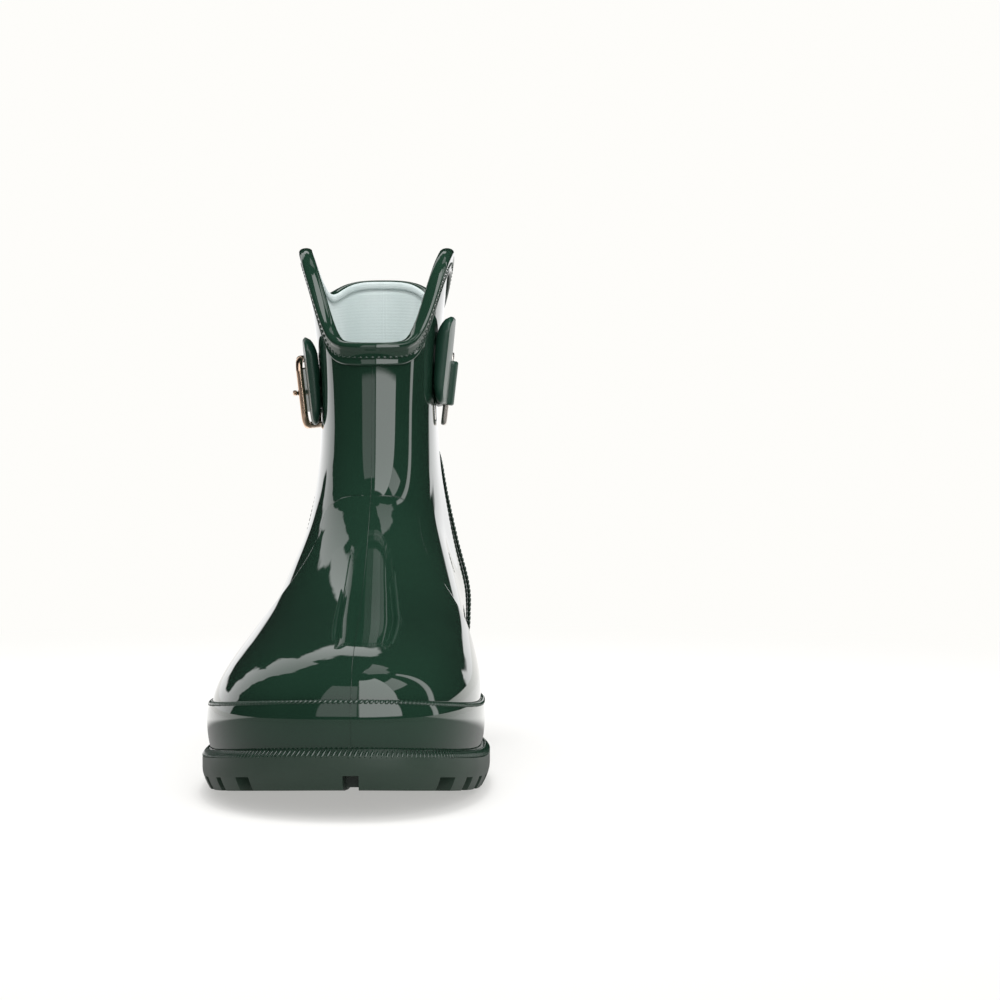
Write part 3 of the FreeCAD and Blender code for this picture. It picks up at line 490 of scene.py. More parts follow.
vampTop = closingLevel(vampEdgeY, 99.0, 103.6, 0) - 0.02
vampLevels = fannedLevels(30.0, 97.0, vampTop, 26)
vampSkin = overlay("vampOverlay", vampShape,
                   lambda z: (-edgeAngle(vampEdgeY, z), edgeAngle(vampEdgeY, z)), vampLevels, 170)
finishPiece(vampSkin, glossGreen, "root", ["vamp_overlay"])

counterTop = closingLevel(counterEdgeY, 124.0, 128.6, 1) - 0.02
counterLevels = fannedLevels(30.0, 118.0, counterTop, 24)
counterSkin = overlay("heelCounter", counterShape,
                      lambda z: (edgeAngle(counterEdgeY, z), 2 * math.pi - edgeAngle(counterEdgeY, z)),
                      counterLevels, 150)
finishPiece(counterSkin, glossGreen, "root", ["heel_counter"])
print("overlays done, vamp closes at", round(float(vampTop), 2), "counter at", round(float(counterTop), 2))


# foxing, welt

foxingShape = {"low": 11.7, "high": 30.5,
               # share of the height, stand-off from the shell
               "profile": [(0, 1.35), (0.1, 1.75), (0.25, 2.2), (0.42, 2.5), (0.6, 2.6), (0.78, 2.5), (0.9, 2.32),
                           (0.96, 2.15), (0.985, 1.9), (1.0, 1.4)]}
ring = ringAngles(380)
foxingTall = foxingShape["high"] - foxingShape["low"]
foxingCurve = spline([p[0] for p in foxingShape["profile"]], [p[1] for p in foxingShape["profile"]])
foxingSteps = np.concatenate([np.linspace(0, 0.9, 16), [0.94, 0.97, 0.985, 0.995, 1.0]])
foxingRows = [skinPoint(ring, foxingShape["low"] + foxingTall * t, foxingCurve(t)) for t in foxingSteps]
foxingRows += [skinPoint(ring, foxingShape["high"], 0.9), skinPoint(ring, foxingShape["high"] - 0.2, 0.05)]
foxingRows += [skinPoint(ring, foxingShape["low"] + foxingTall * 0.5, 0.05),
               skinPoint(ring, foxingShape["low"], 0.05)]
foxingBand = ringPiece("foxingBand", foxingRows)
finishPiece(foxingBand, glossGreen, "root", ["foxing_band"])

# stand-off from the shell, height over the flange
weltShape = {"low": 11.6}
weltProfile = [(4.5, 0.0), (4.75, 0.3), (4.7, 0.7), (4.3, 1.15), (3.4, 1.75), (2.6, 2.25), (2.1, 2.55), (1.5, 2.6),
               (1.3, 2.0), (1.3, 0.0)]
weltRows = [skinPoint(ring, weltShape["low"] + rise, out) for out, rise in weltProfile]
weltStrip = ringPiece("weltStrip", weltRows)
finishPiece(weltStrip, soleGreen, "root", ["welt_strip"])
print("foxing and welt done")


# small repeated shapes, placed on guide points by geometry nodes


def smallBead(name, length, width, height, sides=8, rings=5):
    # rounded grain lying along local x, its flat side down
    points, faces = [], []
    for i in range(rings):
        t = -math.cos(math.pi * (i + 0.5) / rings)
        r = math.sqrt(max(0.0, 1 - abs(t) ** 2.6))
        for k in range(sides):
            a = 2 * math.pi * k / sides
            points.append((t * length / 2, math.cos(a) * r * width / 2, math.sin(a) * r * height / 2))
    points += [(-length / 2, 0, 0), (length / 2, 0, 0)]
    for i in range(rings - 1):
        for k in range(sides):
            k2 = (k + 1) % sides
            faces.append((i * sides + k, (i + 1) * sides + k, (i + 1) * sides + k2, i * sides + k2))
    for k in range(sides):
        k2 = (k + 1) % sides
        faces.append((rings * sides, k, k2))
        faces.append((rings * sides + 1, (rings - 1) * sides + k2, (rings - 1) * sides + k))
    faces = [f[::-1] for f in faces]
    return addMesh(name, points, faces)


def beadRow(name, spots, grain, material, turn=0.0, spread=0.06, seed=3):
    # spots: (place, along, out) rows; grain: the small shape to repeat
    places, along, out = (np.array(v, float) for v in zip(*spots))
    guide = bpy.data.meshes.new(name + "Guide")
    guide.from_pydata((places * mm).tolist(), [], [])
    for key, values in (("along", along), ("out", out)):
        stored = guide.attributes.new(key, "FLOAT_VECTOR", "POINT")
        stored.data.foreach_set("vector", values.astype(np.float32).ravel())
    host = bpy.data.objects.new(name, guide)
    bpy.context.scene.collection.objects.link(host)

    tree = bpy.data.node_groups.new(name + "Nodes", "GeometryNodeTree")
    made = {}
    tree.interface.new_socket("Geometry", in_out="INPUT", socket_type="NodeSocketGeometry")
    for label, kind in (("Grain", "NodeSocketObject"), ("Turn", "NodeSocketFloat"), ("Spread", "NodeSocketFloat"),
                        ("Seed", "NodeSocketInt"), ("Finish", "NodeSocketMaterial")):
        made[label] = tree.interface.new_socket(label, in_out="INPUT", socket_type=kind).identifier
    tree.interface.new_socket("Geometry", in_out="OUTPUT", socket_type="NodeSocketGeometry")
    source, result = tree.nodes.new("NodeGroupInput"), tree.nodes.new("NodeGroupOutput")
    reads = {}
    for key in ("along", "out"):
        reads[key] = tree.nodes.new("GeometryNodeInputNamedAttribute")
        reads[key].data_type = "FLOAT_VECTOR"
        reads[key].inputs["Name"].default_value = key
    info = tree.nodes.new("GeometryNodeObjectInfo")
    scatter = tree.nodes.new("GeometryNodeInstanceOnPoints")
    alignX = tree.nodes.new("FunctionNodeAlignRotationToVector")
    alignX.axis = "X"
    alignZ = tree.nodes.new("FunctionNodeAlignRotationToVector")
    alignZ.axis, alignZ.pivot_axis = "Z", "X"
    turned = tree.nodes.new("FunctionNodeRotateRotation")
    turned.rotation_space = "LOCAL"
    spin = tree.nodes.new("FunctionNodeAxisAngleToRotation")
    size = tree.nodes.new("FunctionNodeRandomValue")
    low, high = (tree.nodes.new("ShaderNodeMath") for side in (0, 1))
    low.operation, high.operation = "SUBTRACT", "ADD"
    low.inputs[0].default_value = high.inputs[0].default_value = 1.0
    real, coat = tree.nodes.new("GeometryNodeRealizeInstances"), tree.nodes.new("GeometryNodeSetMaterial")
    shade = tree.nodes.new("GeometryNodeSetShadeSmooth")
    for a, output, b, socket in (
            (source, "Grain", info, "Object"), (source, "Turn", spin, "Angle"), (source, "Spread", low, 1),
            (source, "Spread", high, 1), (source, "Seed", size, "Seed"), (low, "Value", size, 2),
            (high, "Value", size, 3), (reads["along"], "Attribute", alignX, "Vector"),
            (reads["out"], "Attribute", alignZ, "Vector"), (alignX, "Rotation", alignZ, "Rotation"),
            (alignZ, "Rotation", turned, "Rotation"), (spin, "Rotation", turned, "Rotate By"),
            (source, "Geometry", scatter, "Points"), (info, "Geometry", scatter, "Instance"),
            (turned, "Rotation", scatter, "Rotation"), (size, 1, scatter, "Scale"),
            (scatter, "Instances", real, "Geometry"), (real, "Geometry", shade, "Geometry"),
            (shade, "Geometry", coat, "Geometry"), (source, "Finish", coat, "Material"),
            (coat, "Geometry", result, "Geometry")):
        join(a, output, b, socket)

    modifier = host.modifiers.new("grains", "NODES")
    modifier.node_group = tree
    for label, value in (("Grain", grain), ("Turn", turn), ("Spread", spread), ("Seed", seed), ("Finish", material)):
        modifier[made[label]] = value
    bpy.context.view_layer.update()
    whole = bpy.data.meshes.new_from_object(host.evaluated_get(bpy.context.evaluated_depsgraph_get()))
    host.modifiers.remove(modifier)
    host.data = whole
    bpy.data.meshes.remove(guide)
    return host


def evenSpots(points, normals, pitch, lift=0.0, closed=True):
    # evenly spaced places with directions along a line on the boot
    points, normals = np.array(points), np.array(normals)
    if closed:
        points, normals = np.vstack([points, points[:1]]), np.vstack([normals, normals[:1]])
    run = np.concatenate([[0], np.cumsum(np.linalg.norm(np.diff(points, axis=0), axis=1))])
    count = int(round(run[-1] / pitch))
    wanted = (np.arange(count) + (0.0 if closed else 0.5)) * run[-1] / count
    step = 0.3

    def at(values, s):
        s = np.mod(s, run[-1]) if closed else np.clip(s, 0, run[-1])
        return np.stack([np.interp(s, run, values[:, k]) for k in range(3)], axis=-1)

    place, out = at(points, wanted), at(normals, wanted)
    along = at(points, wanted + step) - at(points, wanted - step)
    return list(zip(place + out * lift, along, out))


def beadPiece(name, spots, grain, material, body="root", turn=0.0, spread=0.06, seed=3):
    piece = beadRow(name, spots, grain, material, turn, spread, seed)
    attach(piece, body)
    return piece


ropeShape = {"pitch": 1.75, "length": 2.35, "width": 1.5, "height": 1.3, "lean": 0.62}
ropeGrain = smallBead("ropeGrain", ropeShape["length"], ropeShape["width"], ropeShape["height"])
fineRing = ringAngles(900)
foxingTop = skinPoint(fineRing, foxingShape["high"] - 0.55, 1.75)
foxingOut = surfaceNormal(fineRing, np.full_like(fineRing, foxingShape["high"]))
foxingOut = foxingOut + np.array([0, 0, 0.75])
foxingOut /= np.linalg.norm(foxingOut, axis=1, keepdims=True)
beadPiece("foxingRope", evenSpots(foxingTop, foxingOut, ropeShape["pitch"]), ropeGrain, glossGreen,
          turn=ropeShape["lean"])

weltRib = {"pitch": 1.8, "length": 3.6, "width": 1.15, "height": 1.0, "lean": 1.15}
ribGrain = smallBead("ribGrain", weltRib["length"], weltRib["width"], weltRib["height"], 8, 5)
weltLine = skinPoint(fineRing, weltShape["low"] + 1.45, 3.75)
weltOut = surfaceNormal(fineRing, np.full_like(fineRing, 13.0)) * np.array([1, 1, 0.3]) + np.array([0, 0, 0.85])
weltOut /= np.linalg.norm(weltOut, axis=1, keepdims=True)
beadPiece("weltRibs", evenSpots(weltLine, weltOut, weltRib["pitch"]), ribGrain, glossGreen,
          turn=weltRib["lean"])


def edgeLine(edgeY, levels, lift, mirror):
    phi = np.array([edgeAngle(edgeY, z) for z in levels])
    left = 2 * math.pi - phi if mirror else -phi
    angle = np.concatenate([phi, left[::-1]])
    z = np.concatenate([levels, levels[::-1]])
    return skinPoint(angle, z, lift), surfaceNormal(angle, z)


counterRope = {"pitch": 1.9, "length": 2.3, "width": 1.35, "height": 1.15, "lean": 0.6}
counterGrain = smallBead("counterGrain", counterRope["length"], counterRope["width"], counterRope["height"])
counterPlaces, counterOut = edgeLine(counterEdgeY, np.array([z for z in counterLevels if z > 30.8]), 0.95, True)
beadPiece("counterRope", evenSpots(counterPlaces, counterOut, counterRope["pitch"], closed=False), counterGrain,
          glossGreen, turn=counterRope["lean"])
print("rope beads and ribs done")


# collar binding: band outside and inside, rolled rim and raised stitches

bindingShape = {
    # stand-off, height over the collar line
    "section": [(0.06, -7.0), (0.5, -7.05), (1.0, -6.95), (1.3, -6.6), (1.3, -6.2), (1.12, -5.8), (1.05, -5.2),
                (1.1, -3.6), (1.1, -2.0), (1.15, -1.3), (1.42, -0.9), (1.62, -0.2), (1.55, 0.55), (1.15, 1.25),
                (0.4, 1.75), (-0.7, 1.95), (-1.9, 1.9), (-3.0, 1.55), (-3.75, 0.95), (-4.1, 0.2), (-4.05, -0.7),
                (-3.95, -1.5), (-3.75, -2.0), (-3.4, -2.2), (-3.17, -2.1), (-3.17, -0.6), (-2.6, 0.0),
                (-0.6, 0.0), (0.06, -0.6)],
    "columns": 420, "stitchPitch": 2.4, "stitchDrop": 3.9,
    # the lining shows from here backwards, on the band's inner face and under its roll
    "clothFrom": 0.010, "clothInside": -2.6, "clothUnder": 1.2,
}


def collarPoint(angle, offset, over):
    z = collarLevel(angle) + over
    return skinPoint(angle, z, offset)


collarRing = ringAngles(bindingShape["columns"])
section = np.array(bindingShape["section"])
bindingRows = [collarPoint(collarRing, offset, over) for offset, over in section]
collarBinding = ringPiece("collarBinding", bindingRows)
finishPiece(collarBinding, glossGreen, "root", ["collar_binding"])
collarBinding.data.materials.append(liningKnit)
collarBinding.data.uv_layers.new(name="cloth")
for face in collarBinding.data.polygons:
    offset, over = section[min(face.vertices) // bindingShape["columns"]]
    inside = offset < bindingShape["clothInside"] and over < bindingShape["clothUnder"]
    if inside and face.center.y > bindingShape["clothFrom"]:
        face.material_index = 1

stitchGrain = smallBead("stitchGrain", 1.6, 0.95, 1.0, 7, 4)
stitchRing = ringAngles(600)
stitchLine = collarPoint(stitchRing, 1.1, -bindingShape["stitchDrop"])
stitchOut = surfaceNormal(stitchRing, collarLevel(stitchRing))
beadPiece("collarStitches", evenSpots(stitchLine, stitchOut, bindingShape["stitchPitch"]), stitchGrain, glossGreen)
print("collar done")


# parting line of the mould, front and back

partingShape = {"width": 0.34, "height": 0.16, "low": 31.0, "underCollar": 7.2}


def ridgeAlong(name, lines, width, height, material):
    # lines: (places, out directions, sideways directions)
    points, faces = [], []
    for place, out, side in lines:
        start = len(points)
        for p, o, s in zip(place, out, side):
            points += [p - s * width / 2 - o * 0.15, p - s * width / 4 + o * height * 0.8, p + o * height,
                       p + s * width / 4 + o * height * 0.8, p + s * width / 2 - o * 0.15]
        faces += [tuple(start + v for v in f) for f in gridFaces(len(place), 5, False, True)]
        end = start + (len(place) - 1) * 5
        faces += [tuple(range(start, start + 5)), tuple(range(end, end + 5))[::-1]]
    piece = addMesh(name, points, faces)
    return finishPiece(piece, material, "root", ())


def middleLine(angle, levels, offset):
    z = np.array(levels)
    a = np.full_like(z, angle)
    place = skinPoint(a, z, offset)
    place[:, 0] = 0.0
    out = surfaceNormal(a, z)
    return place, out, np.tile([1.0, 0, 0], (len(z), 1))


frontHigh, backHigh = (float(collarLevel(np.array([turn]))[0]) - partingShape["underCollar"]
                       for turn in (0.0, math.pi))
partingLines = []
for turn, overlap, high in ((0.0, vampTop, frontHigh), (math.pi, counterTop, backHigh)):
    partingLines += [middleLine(turn, np.linspace(partingShape["low"], overlap - 0.1, 70), 1.0),
                     middleLine(turn, np.linspace(overlap, high, 60), 0.0)]
foxingLevels = np.linspace(14.4, 29.6, 20)
foxingPlace, foxingNormal, foxingSide = middleLine(0.0, foxingLevels, 0.0)
foxingPlace += foxingNormal * foxingCurve((foxingLevels - foxingShape["low"]) / foxingTall)[:, None]
partingLines.append((foxingPlace, foxingNormal, foxingSide))
ridgeAlong("partingRidge", partingLines, partingShape["width"], partingShape["height"], glossGreen)
print("parting line done")


# outsole: side wall, tread lugs, arch gap and heel block

soleShape = {"flange": 4.9, "draw": 2.6, "drawHeight": 6.9, "thick": 11.5, "gap": 4.6, "columns": 2400,
             "archFront": -62.0, "archBack": -14.0, "archHeight": 7.0,
             # cut stretches along the edge, from the toe: those seen in front, then a steady pitch
             "firstGaps": {"outer": [(37.5, 45.0), (56.7, 61.4), (73.8, 80.3)],
                           "inner": [(33.3, 43.0), (53.2, 60.0)]},
             "pitch": 17.0, "slot": 6.0, "notch": 2.6, "lastGap": 165,
             # the heel's gaps, from the back
             "heelFirst": 13.0, "heelLast": 70, "heelPitch": 14.5, "heelSlot": 5.0}


def soleOffset(z):
    return soleShape["flange"] - soleShape["draw"] * np.maximum(0, 1 - z / soleShape["drawHeight"]) ** 1.6


def soleRing(angle, z, offset):
    base = skinPoint(angle, 12.0, offset)
    y = base[..., 1]
    share = np.minimum(1.0, z / soleShape["thick"])
    base[..., 2] = z + treadLift(y) + (lift(y) - treadLift(y)) * share
    return base


soleAngles = ringAngles(soleShape["columns"])
edgeRing = soleRing(soleAngles, 0.0, soleOffset(0.0))
edgeSteps = np.diff(np.vstack([edgeRing, edgeRing[:1]]), axis=0)
edgeRun = np.concatenate([[0], np.cumsum(np.linalg.norm(edgeSteps, axis=1))])
soleLength = edgeRun[-1]


def lugGaps():
    # stretches of the sole's edge, measured from the toe along the inner side, that are cut away
    gaps = [(-soleShape["notch"], soleShape["notch"])]
    for side, first in soleShape["firstGaps"].items():
        sign = 1 if side == "inner" else -1
        spans = list(first)
        while spans[-1][1] < soleShape["lastGap"]:
            at = spans[-1][0] + soleShape["pitch"]
            spans.append((at, at + soleShape["slot"]))
        at = soleLength / 2 - soleShape["heelFirst"]
        while at > soleLength / 2 - soleShape["heelLast"]:
            spans.append((at - soleShape["heelSlot"], at))
            at -= soleShape["heelPitch"]
        gaps += [tuple(sorted((sign * a, sign * b))) for a, b in spans]
    return gaps


def inGap(s, gaps):
    s = (s + soleLength / 2) % soleLength - soleLength / 2
    inside = np.zeros_like(s, dtype=bool)
    for a, b in gaps:
        inside |= (s > a) & (s < b)
    return inside


def archGap(y):
    ramp = smoothStep((y - soleShape["archFront"]) / 9.0) * smoothStep((soleShape["archBack"] - y) / 5.0)
    return soleShape["archHeight"] * ramp


def soleBottom(y, cut):
    return np.maximum(archGap(y), cut)


gaps = lugGaps()
stops = sorted({v for g in gaps for v in g})
marks = []
for a, b in zip(stops, stops[1:] + [stops[0] + soleLength]):
    count = max(2, int((b - a) / 1.1))
    marks += list(a + (b - a) * np.linspace(0, 1, count, endpoint=False))
    marks[-count] = a + 0.02
    marks.insert(len(marks) - count, a - 0.02)
marks = np.array(sorted(marks))
column = np.interp(marks % soleLength, edgeRun, np.concatenate([soleAngles, [2 * math.pi]]))
cutHere = inGap(marks, gaps).astype(float) * soleShape["gap"]


def sideRow(z):
    flat = soleRing(column, 0.0, soleOffset(0.0))
    height = np.maximum(soleBottom(flat[:, 1], cutHere), z)
    return soleRing(column, height, soleOffset(height))


soleRows = [sideRow(z) for z in (0.0, 0.35, 1.0, 2.0, 3.2, 4.4, 4.8, 6.0, 7.2, 8.4, 9.6, 10.6)]
for z, out in ((11.2, 4.85), (11.5, 4.45), (11.5, 0.0), (11.5, -8.0), (11.5, -18.0)):
    soleRows.append(soleRing(column, z, out))
for out in (-18.0, -8.5, -8.0, -2.0):
    flat = soleRing(column, 0.0, out)
    height = soleBottom(flat[:, 1], cutHere if out > -8.4 else np.full(len(column), 1.2))
    soleRows.append(soleRing(column, height, out))
outsolePiece = ringPiece("outsole", soleRows)
finishPiece(outsolePiece, soleGreen, "root", ["outsole"])
edges = outsolePiece.modifiers.new("edges", "EDGE_SPLIT")
edges.split_angle = math.radians(38)
print("outsole done")


# middle of the tread, inside the ring of lugs

treadShape = {"cell": 1.25, "inset": -8.3, "rib": 11.0, "gap": 4.2, "depth": 3.4, "slant": 0.55, "keel": 2.0,
              "front": -188.0, "back": 41.0, "across": 48, "top": 11.0, "highest": 9.0}


def treadCentre():
    across, period = treadShape["across"], treadShape["rib"] + treadShape["gap"]
    points = []
    for y in np.arange(treadShape["front"], treadShape["back"], treadShape["cell"]):
        left, right = (max(1.0, float(halfWidth(y, 12.0, side)) + treadShape["inset"]) for side in (-1, 1))
        xs = np.linspace(-left, right, across)
        wave = (y + np.abs(xs) * treadShape["slant"]) / period
        cut = ((wave % 1.0) < treadShape["gap"] / period) | (np.abs(xs) < treadShape["keel"])
        low = np.maximum(float(archGap(y)) + 0.3, cut * treadShape["depth"] + 0.15)
        points.append(np.stack([xs, np.full(across, y), np.minimum(low, treadShape["highest"])], axis=-1))
    bottom = np.array(points)
    top = bottom.copy()
    top[..., 2] = treadShape["top"]
    for layer in (bottom, top):
        z, y = layer[..., 2], layer[..., 1]
        share = np.minimum(1.0, z / soleShape["thick"])
        layer[..., 2] = z + treadLift(y) + (lift(y) - treadLift(y)) * share
    return slabPiece("treadMiddle", bottom, top, smooth=False)


finishPiece(treadCentre(), soleGreen, "root", ())
print("tread middle done")


# footbed

def dressNode(name, look):
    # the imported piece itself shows, with a material of its own
    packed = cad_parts[name]
    packed.data.materials.clear()
    packed.data.materials.append(look)


dressNode("insole", insoleCloth)
dressNode("insole_board", boardFibre)


# straps: bands off the wall, cut to their outlines

# fillerOffWall: how far the rubber filler behind a strap end keeps off the wall; the filler is painted shade in that
# gap
strapShape = {"width": 18.0, "thick": 2.2, "lean": 6.5, "gap": 2.5, "level": 144.3, "ringLevel": 147.6,
              "patchTall": 35.0, "patchGap": 2.7, "patchFront": -25.0, "outerPatch": 148.0, "innerPatch": 156.3,
              "tail": 43.0, "rearBar": 17.0, "span": 22.0, "bore": 1.32, "fold": 3.19, "offWall": 4.19,
              "air": 0.4, "slot": 10.6, "prong": 2.2, "round": 0.85, "corner": 6.0, "fillerOffWall": 0.45,
              "ringBars": (-3.0, 11.0)}


def wallPlace(y, side):
    level = strapShape["level"]
    slope = halfWidth(y + 0.5, level, side) - halfWidth(y - 0.5, level, side)
    out = np.array([side, -float(slope), 0.0])
    return np.array([side * float(halfWidth(y, level, side)), y, level]), out / np.linalg.norm(out)


def leaning(point, out, gap, z):
    rise = z - strapShape["level"]
    return point + out * (gap + rise * math.tan(math.radians(strapShape["lean"]))) + np.array([0, 0, rise])


def leaner(point, out):
    return lambda gap, z: leaning(point, out, gap, z)


def tongueGap(y):
    front = strapShape["rearBar"] - strapShape["span"]
    under = strapShape["patchGap"] + 0.6 * smoothStep((y + 16.0) / (front - 2 + 16.0))
    over = strapShape["offWall"] + strapShape["fold"] + strapShape["air"]
    rest = strapShape["gap"] + strapShape["thick"] + strapShape["air"]
    bar = under + (over - under) * smoothStep((y - front) / (strapShape["span"] - 4.5))
    return float(bar + (rest - bar) * smoothStep((y - strapShape["rearBar"] - strapShape["fold"] + 0.5) / 8.5))


def bandPiece(name, stations, rows=22, shadeFiller=None):
    # stations: (place function of gap and z, gap, low z, high z) from one end to the other; edges are rounded
    thick, edge = strapShape["thick"], strapShape["round"]
    near, far = [], []
    for put, gap, low, high in stations:
        t = np.linspace(0, 1, rows)
        z = low + (high - low) * (0.5 - 0.5 * np.cos(t * math.pi)) * 0.5 + (high - low) * t * 0.5
        away = np.clip(np.minimum(z - low, high - z) / edge, 0, 1)
        swell = thick / 2 * (0.25 + 0.75 * np.sqrt(1 - (1 - away) ** 2))
        # the filler thickens the strap's back into the gap to the wall: dark rubber put where there is only shade
        fill = shadeFiller(put, gap, low, high, z) if shadeFiller else np.zeros(rows)
        near.append([put(gap + thick / 2 - s - f, v) for s, f, v in zip(swell, fill, z)])
        far.append([put(gap + thick / 2 + s, v) for s, v in zip(swell, z)])
    return slabPiece(name, np.array(near), np.array(far))


def outward(piece):
    # turns a closed mesh's faces outwards
    work = bmesh.new()
    work.from_mesh(piece.data)
    bmesh.ops.recalc_face_normals(work, faces=work.faces)
    work.to_mesh(piece.data)
    work.free()
    return piece


def patchHeights(y, level, neckY, neckLevel):
    # low and high edge of a strap end at y: round front corners, then drawn in to the strap
    half, tall, front = strapShape["width"] / 2, strapShape["patchTall"] / 2, strapShape["patchFront"]
    corner = strapShape["corner"]
    nose = tall - corner * (1 - math.sqrt(max(0.0, 1 - max(0.0, 1 - (y - front) / corner) ** 2)))
    t = float(smoothStep((y - (neckY - 7.5)) / 6.5))
    middle = level + (neckLevel - level) * t
    reach = nose + (half - nose) * t
    return middle - reach, middle + reach


def gapShadeFiller(side):
    # painted shade: strap rubber fills the gap behind a strap's wide end and keeps just off the wall, standing in
    # for the shade in that gap
    def fill(put, gap, low, high, z):
        y = put(0.0, strapShape["level"])[1]
        tall = min(1.0, max(0.0, (high - low - 24.0) / 8.0))
        lean = math.tan(math.radians(strapShape["lean"]))
        wall = halfWidth(y, strapShape["level"], side) - halfWidth(y, z, side)
        room = gap + (z - strapShape["level"]) * lean + wall - strapShape["fillerOffWall"]
        edge = 1 - np.abs(2 * (z - low) / (high - low) - 1) ** 6
        return np.maximum(0.0, room) * tall * edge

    return fill


def frontSteps(neck, end):
    # places along a strap from its front end, closer together at the round corners and at the neck
    front = strapShape["patchFront"]
    start = front + strapShape["corner"] * (1 - np.cos(np.linspace(0.16, math.pi / 2, 14)))
    return np.concatenate([start, np.linspace(front + 6.6, neck - 8, 8), np.linspace(neck - 7.4, neck, 12),
                           np.linspace(neck + 0.8, end, max(4, int((end - neck) / 1.2)))])


def listStations(ys, side, gap, heights):
    stations = []
    for y in ys:
        point, out = wallPlace(y, side)
        low, high = heights(y)
        stations.append((leaner(point, out), gap(y), low, high))
    return stations


def tongueHeights(y):
    neck = strapShape["rearBar"] - strapShape["span"] - 1.5
    middle, half = strapShape["level"] + 0.6, strapShape["width"] / 2
    if y < neck:
        return patchHeights(y, strapShape["outerPatch"], neck, middle)
    past = max(0.0, (y - (strapShape["tail"] - half)) / half)
    reach = half * math.sqrt(max(0.03, 1 - past ** 2))
    return middle - reach, middle + reach


tailEnd = strapShape["tail"] - strapShape["width"] / 2 * (1 - np.cos(np.linspace(0.0, 1.4, 9)))[::-1]
tongueSteps = np.concatenate([frontSteps(-6.5, 30.0), np.linspace(31, 34, 4), tailEnd[tailEnd > 34.2]])
# the buckle strap's wide end gets the rubber filler, painted shade in the gap to the wall
buckleStrap = outward(bandPiece("buckleStrap", listStations(tongueSteps, -1, tongueGap, tongueHeights),
                                shadeFiller=gapShadeFiller(-1)))


def barAxes(y, z, side):
    point, out = wallPlace(y, side)
    middle = leaning(point, np.array([side, 0.0, 0.0]), strapShape["offWall"], z)
    tilt = math.radians(strapShape["lean"])
    up = np.array([math.sin(tilt) * side, 0, math.cos(tilt)])
    outwardWay = np.array([side * math.cos(tilt), 0, -math.sin(tilt)])
    return middle, outwardWay, np.array([0.0, -1.0, 0.0]), up


def inFrame(points, axes):
    middle, out, ahead, up = axes
    points = np.asarray(points)
    return middle + points[..., :1] * out + points[..., 1:2] * ahead + points[..., 2:3] * up


buckleAxes = barAxes(strapShape["rearBar"], strapShape["level"], -1)
ringFrontAxes, ringRearAxes = (barAxes(y, strapShape["ringLevel"], 1) for y in strapShape["ringBars"])


def cutWith(piece, cutters):
    for cutter in cutters:
        hole = piece.modifiers.new("hole", "BOOLEAN")
        hole.operation, hole.solver, hole.object = "DIFFERENCE", "EXACT", cutter
    bpy.context.view_layer.update()
    whole = bpy.data.meshes.new_from_object(piece.evaluated_get(bpy.context.evaluated_depsgraph_get()))
    piece.modifiers.clear()
    piece.data = whole
    for cutter in cutters:
        bpy.data.objects.remove(cutter)
    return piece


def blockAt(axes, x0, x1, y0, y1, height):
    corners = [(x, y, z) for x in (x0, x1) for y in (y0, y1) for z in (-height / 2, height / 2)]
    faces = [(0, 1, 3, 2), (4, 6, 7, 5), (0, 4, 5, 1), (2, 3, 7, 6), (0, 2, 6, 4), (1, 5, 7, 3)]
    return outward(addMesh("cutter", inFrame(corners, axes), faces, False))


cutWith(buckleStrap, [blockAt(buckleAxes, -2, 12, -1.6, strapShape["slot"] - 1.6, strapShape["prong"] + 0.96)])
finishPiece(buckleStrap, strapGreen, "root", ["buckle_strap", "outer_rivets"])


def ringTabHeights(y):
    return patchHeights(y, strapShape["innerPatch"], -5.0, strapShape["ringLevel"])


def foldStations(axes, start, stop, count=14):
    # strap bent round a bar, seen along it
    middle, out, ahead, up = axes
    stations = []
    for a in np.linspace(start, stop, count):
        way = out * math.cos(a) + ahead * math.sin(a)

        def put(g, z, m=middle, w=way, u=up):
            return m + w * (strapShape["bore"] + g * 0.85) + u * z

        stations.append((put, 0.0, -strapShape["width"] / 2, strapShape["width"] / 2))
    return stations


# the ring tab's wide end gets the rubber filler, painted shade in the gap to the wall
ringTab = outward(bandPiece("ringTab", listStations(frontSteps(-5.0, -3.4), 1, lambda y: strapShape["patchGap"],
                                                    ringTabHeights), shadeFiller=gapShadeFiller(1)))
finishPiece(ringTab, strapGreen, "root", ["inner_rivets"])
ringFold = outward(bandPiece("ringFold", foldStations(ringFrontAxes, -3.2, 3.0, 26)))
finishPiece(ringFold, strapGreen, "root", ["ring_strap"])


def rearStations():
    level = strapShape["level"]
    front, back = float(lastColumn[0](level)), float(lastColumn[1](level))
    aim = lambda y: math.acos(((front + back) / 2 - y) / ((back - front) / 2))
    start, stop = 2 * math.pi - aim(17.2), aim(11.2)
    half, stations = strapShape["width"] / 2, []
    for phi in np.linspace(start, stop, 90):
        point = surface(phi, level)
        out = surfaceNormal(phi, level) * np.array([1, 1, 0])
        out /= np.linalg.norm(out)
        y = point[1]
        reach = (y - 11) / (55 - 11)
        side = level if point[0] < 0 else strapShape["ringLevel"]
        middle = side + (level + 1.7 - side) * min(1.0, max(0.0, reach))
        stations.append((leaner(point, out), strapShape["gap"], middle - half, middle + half))
    return stations


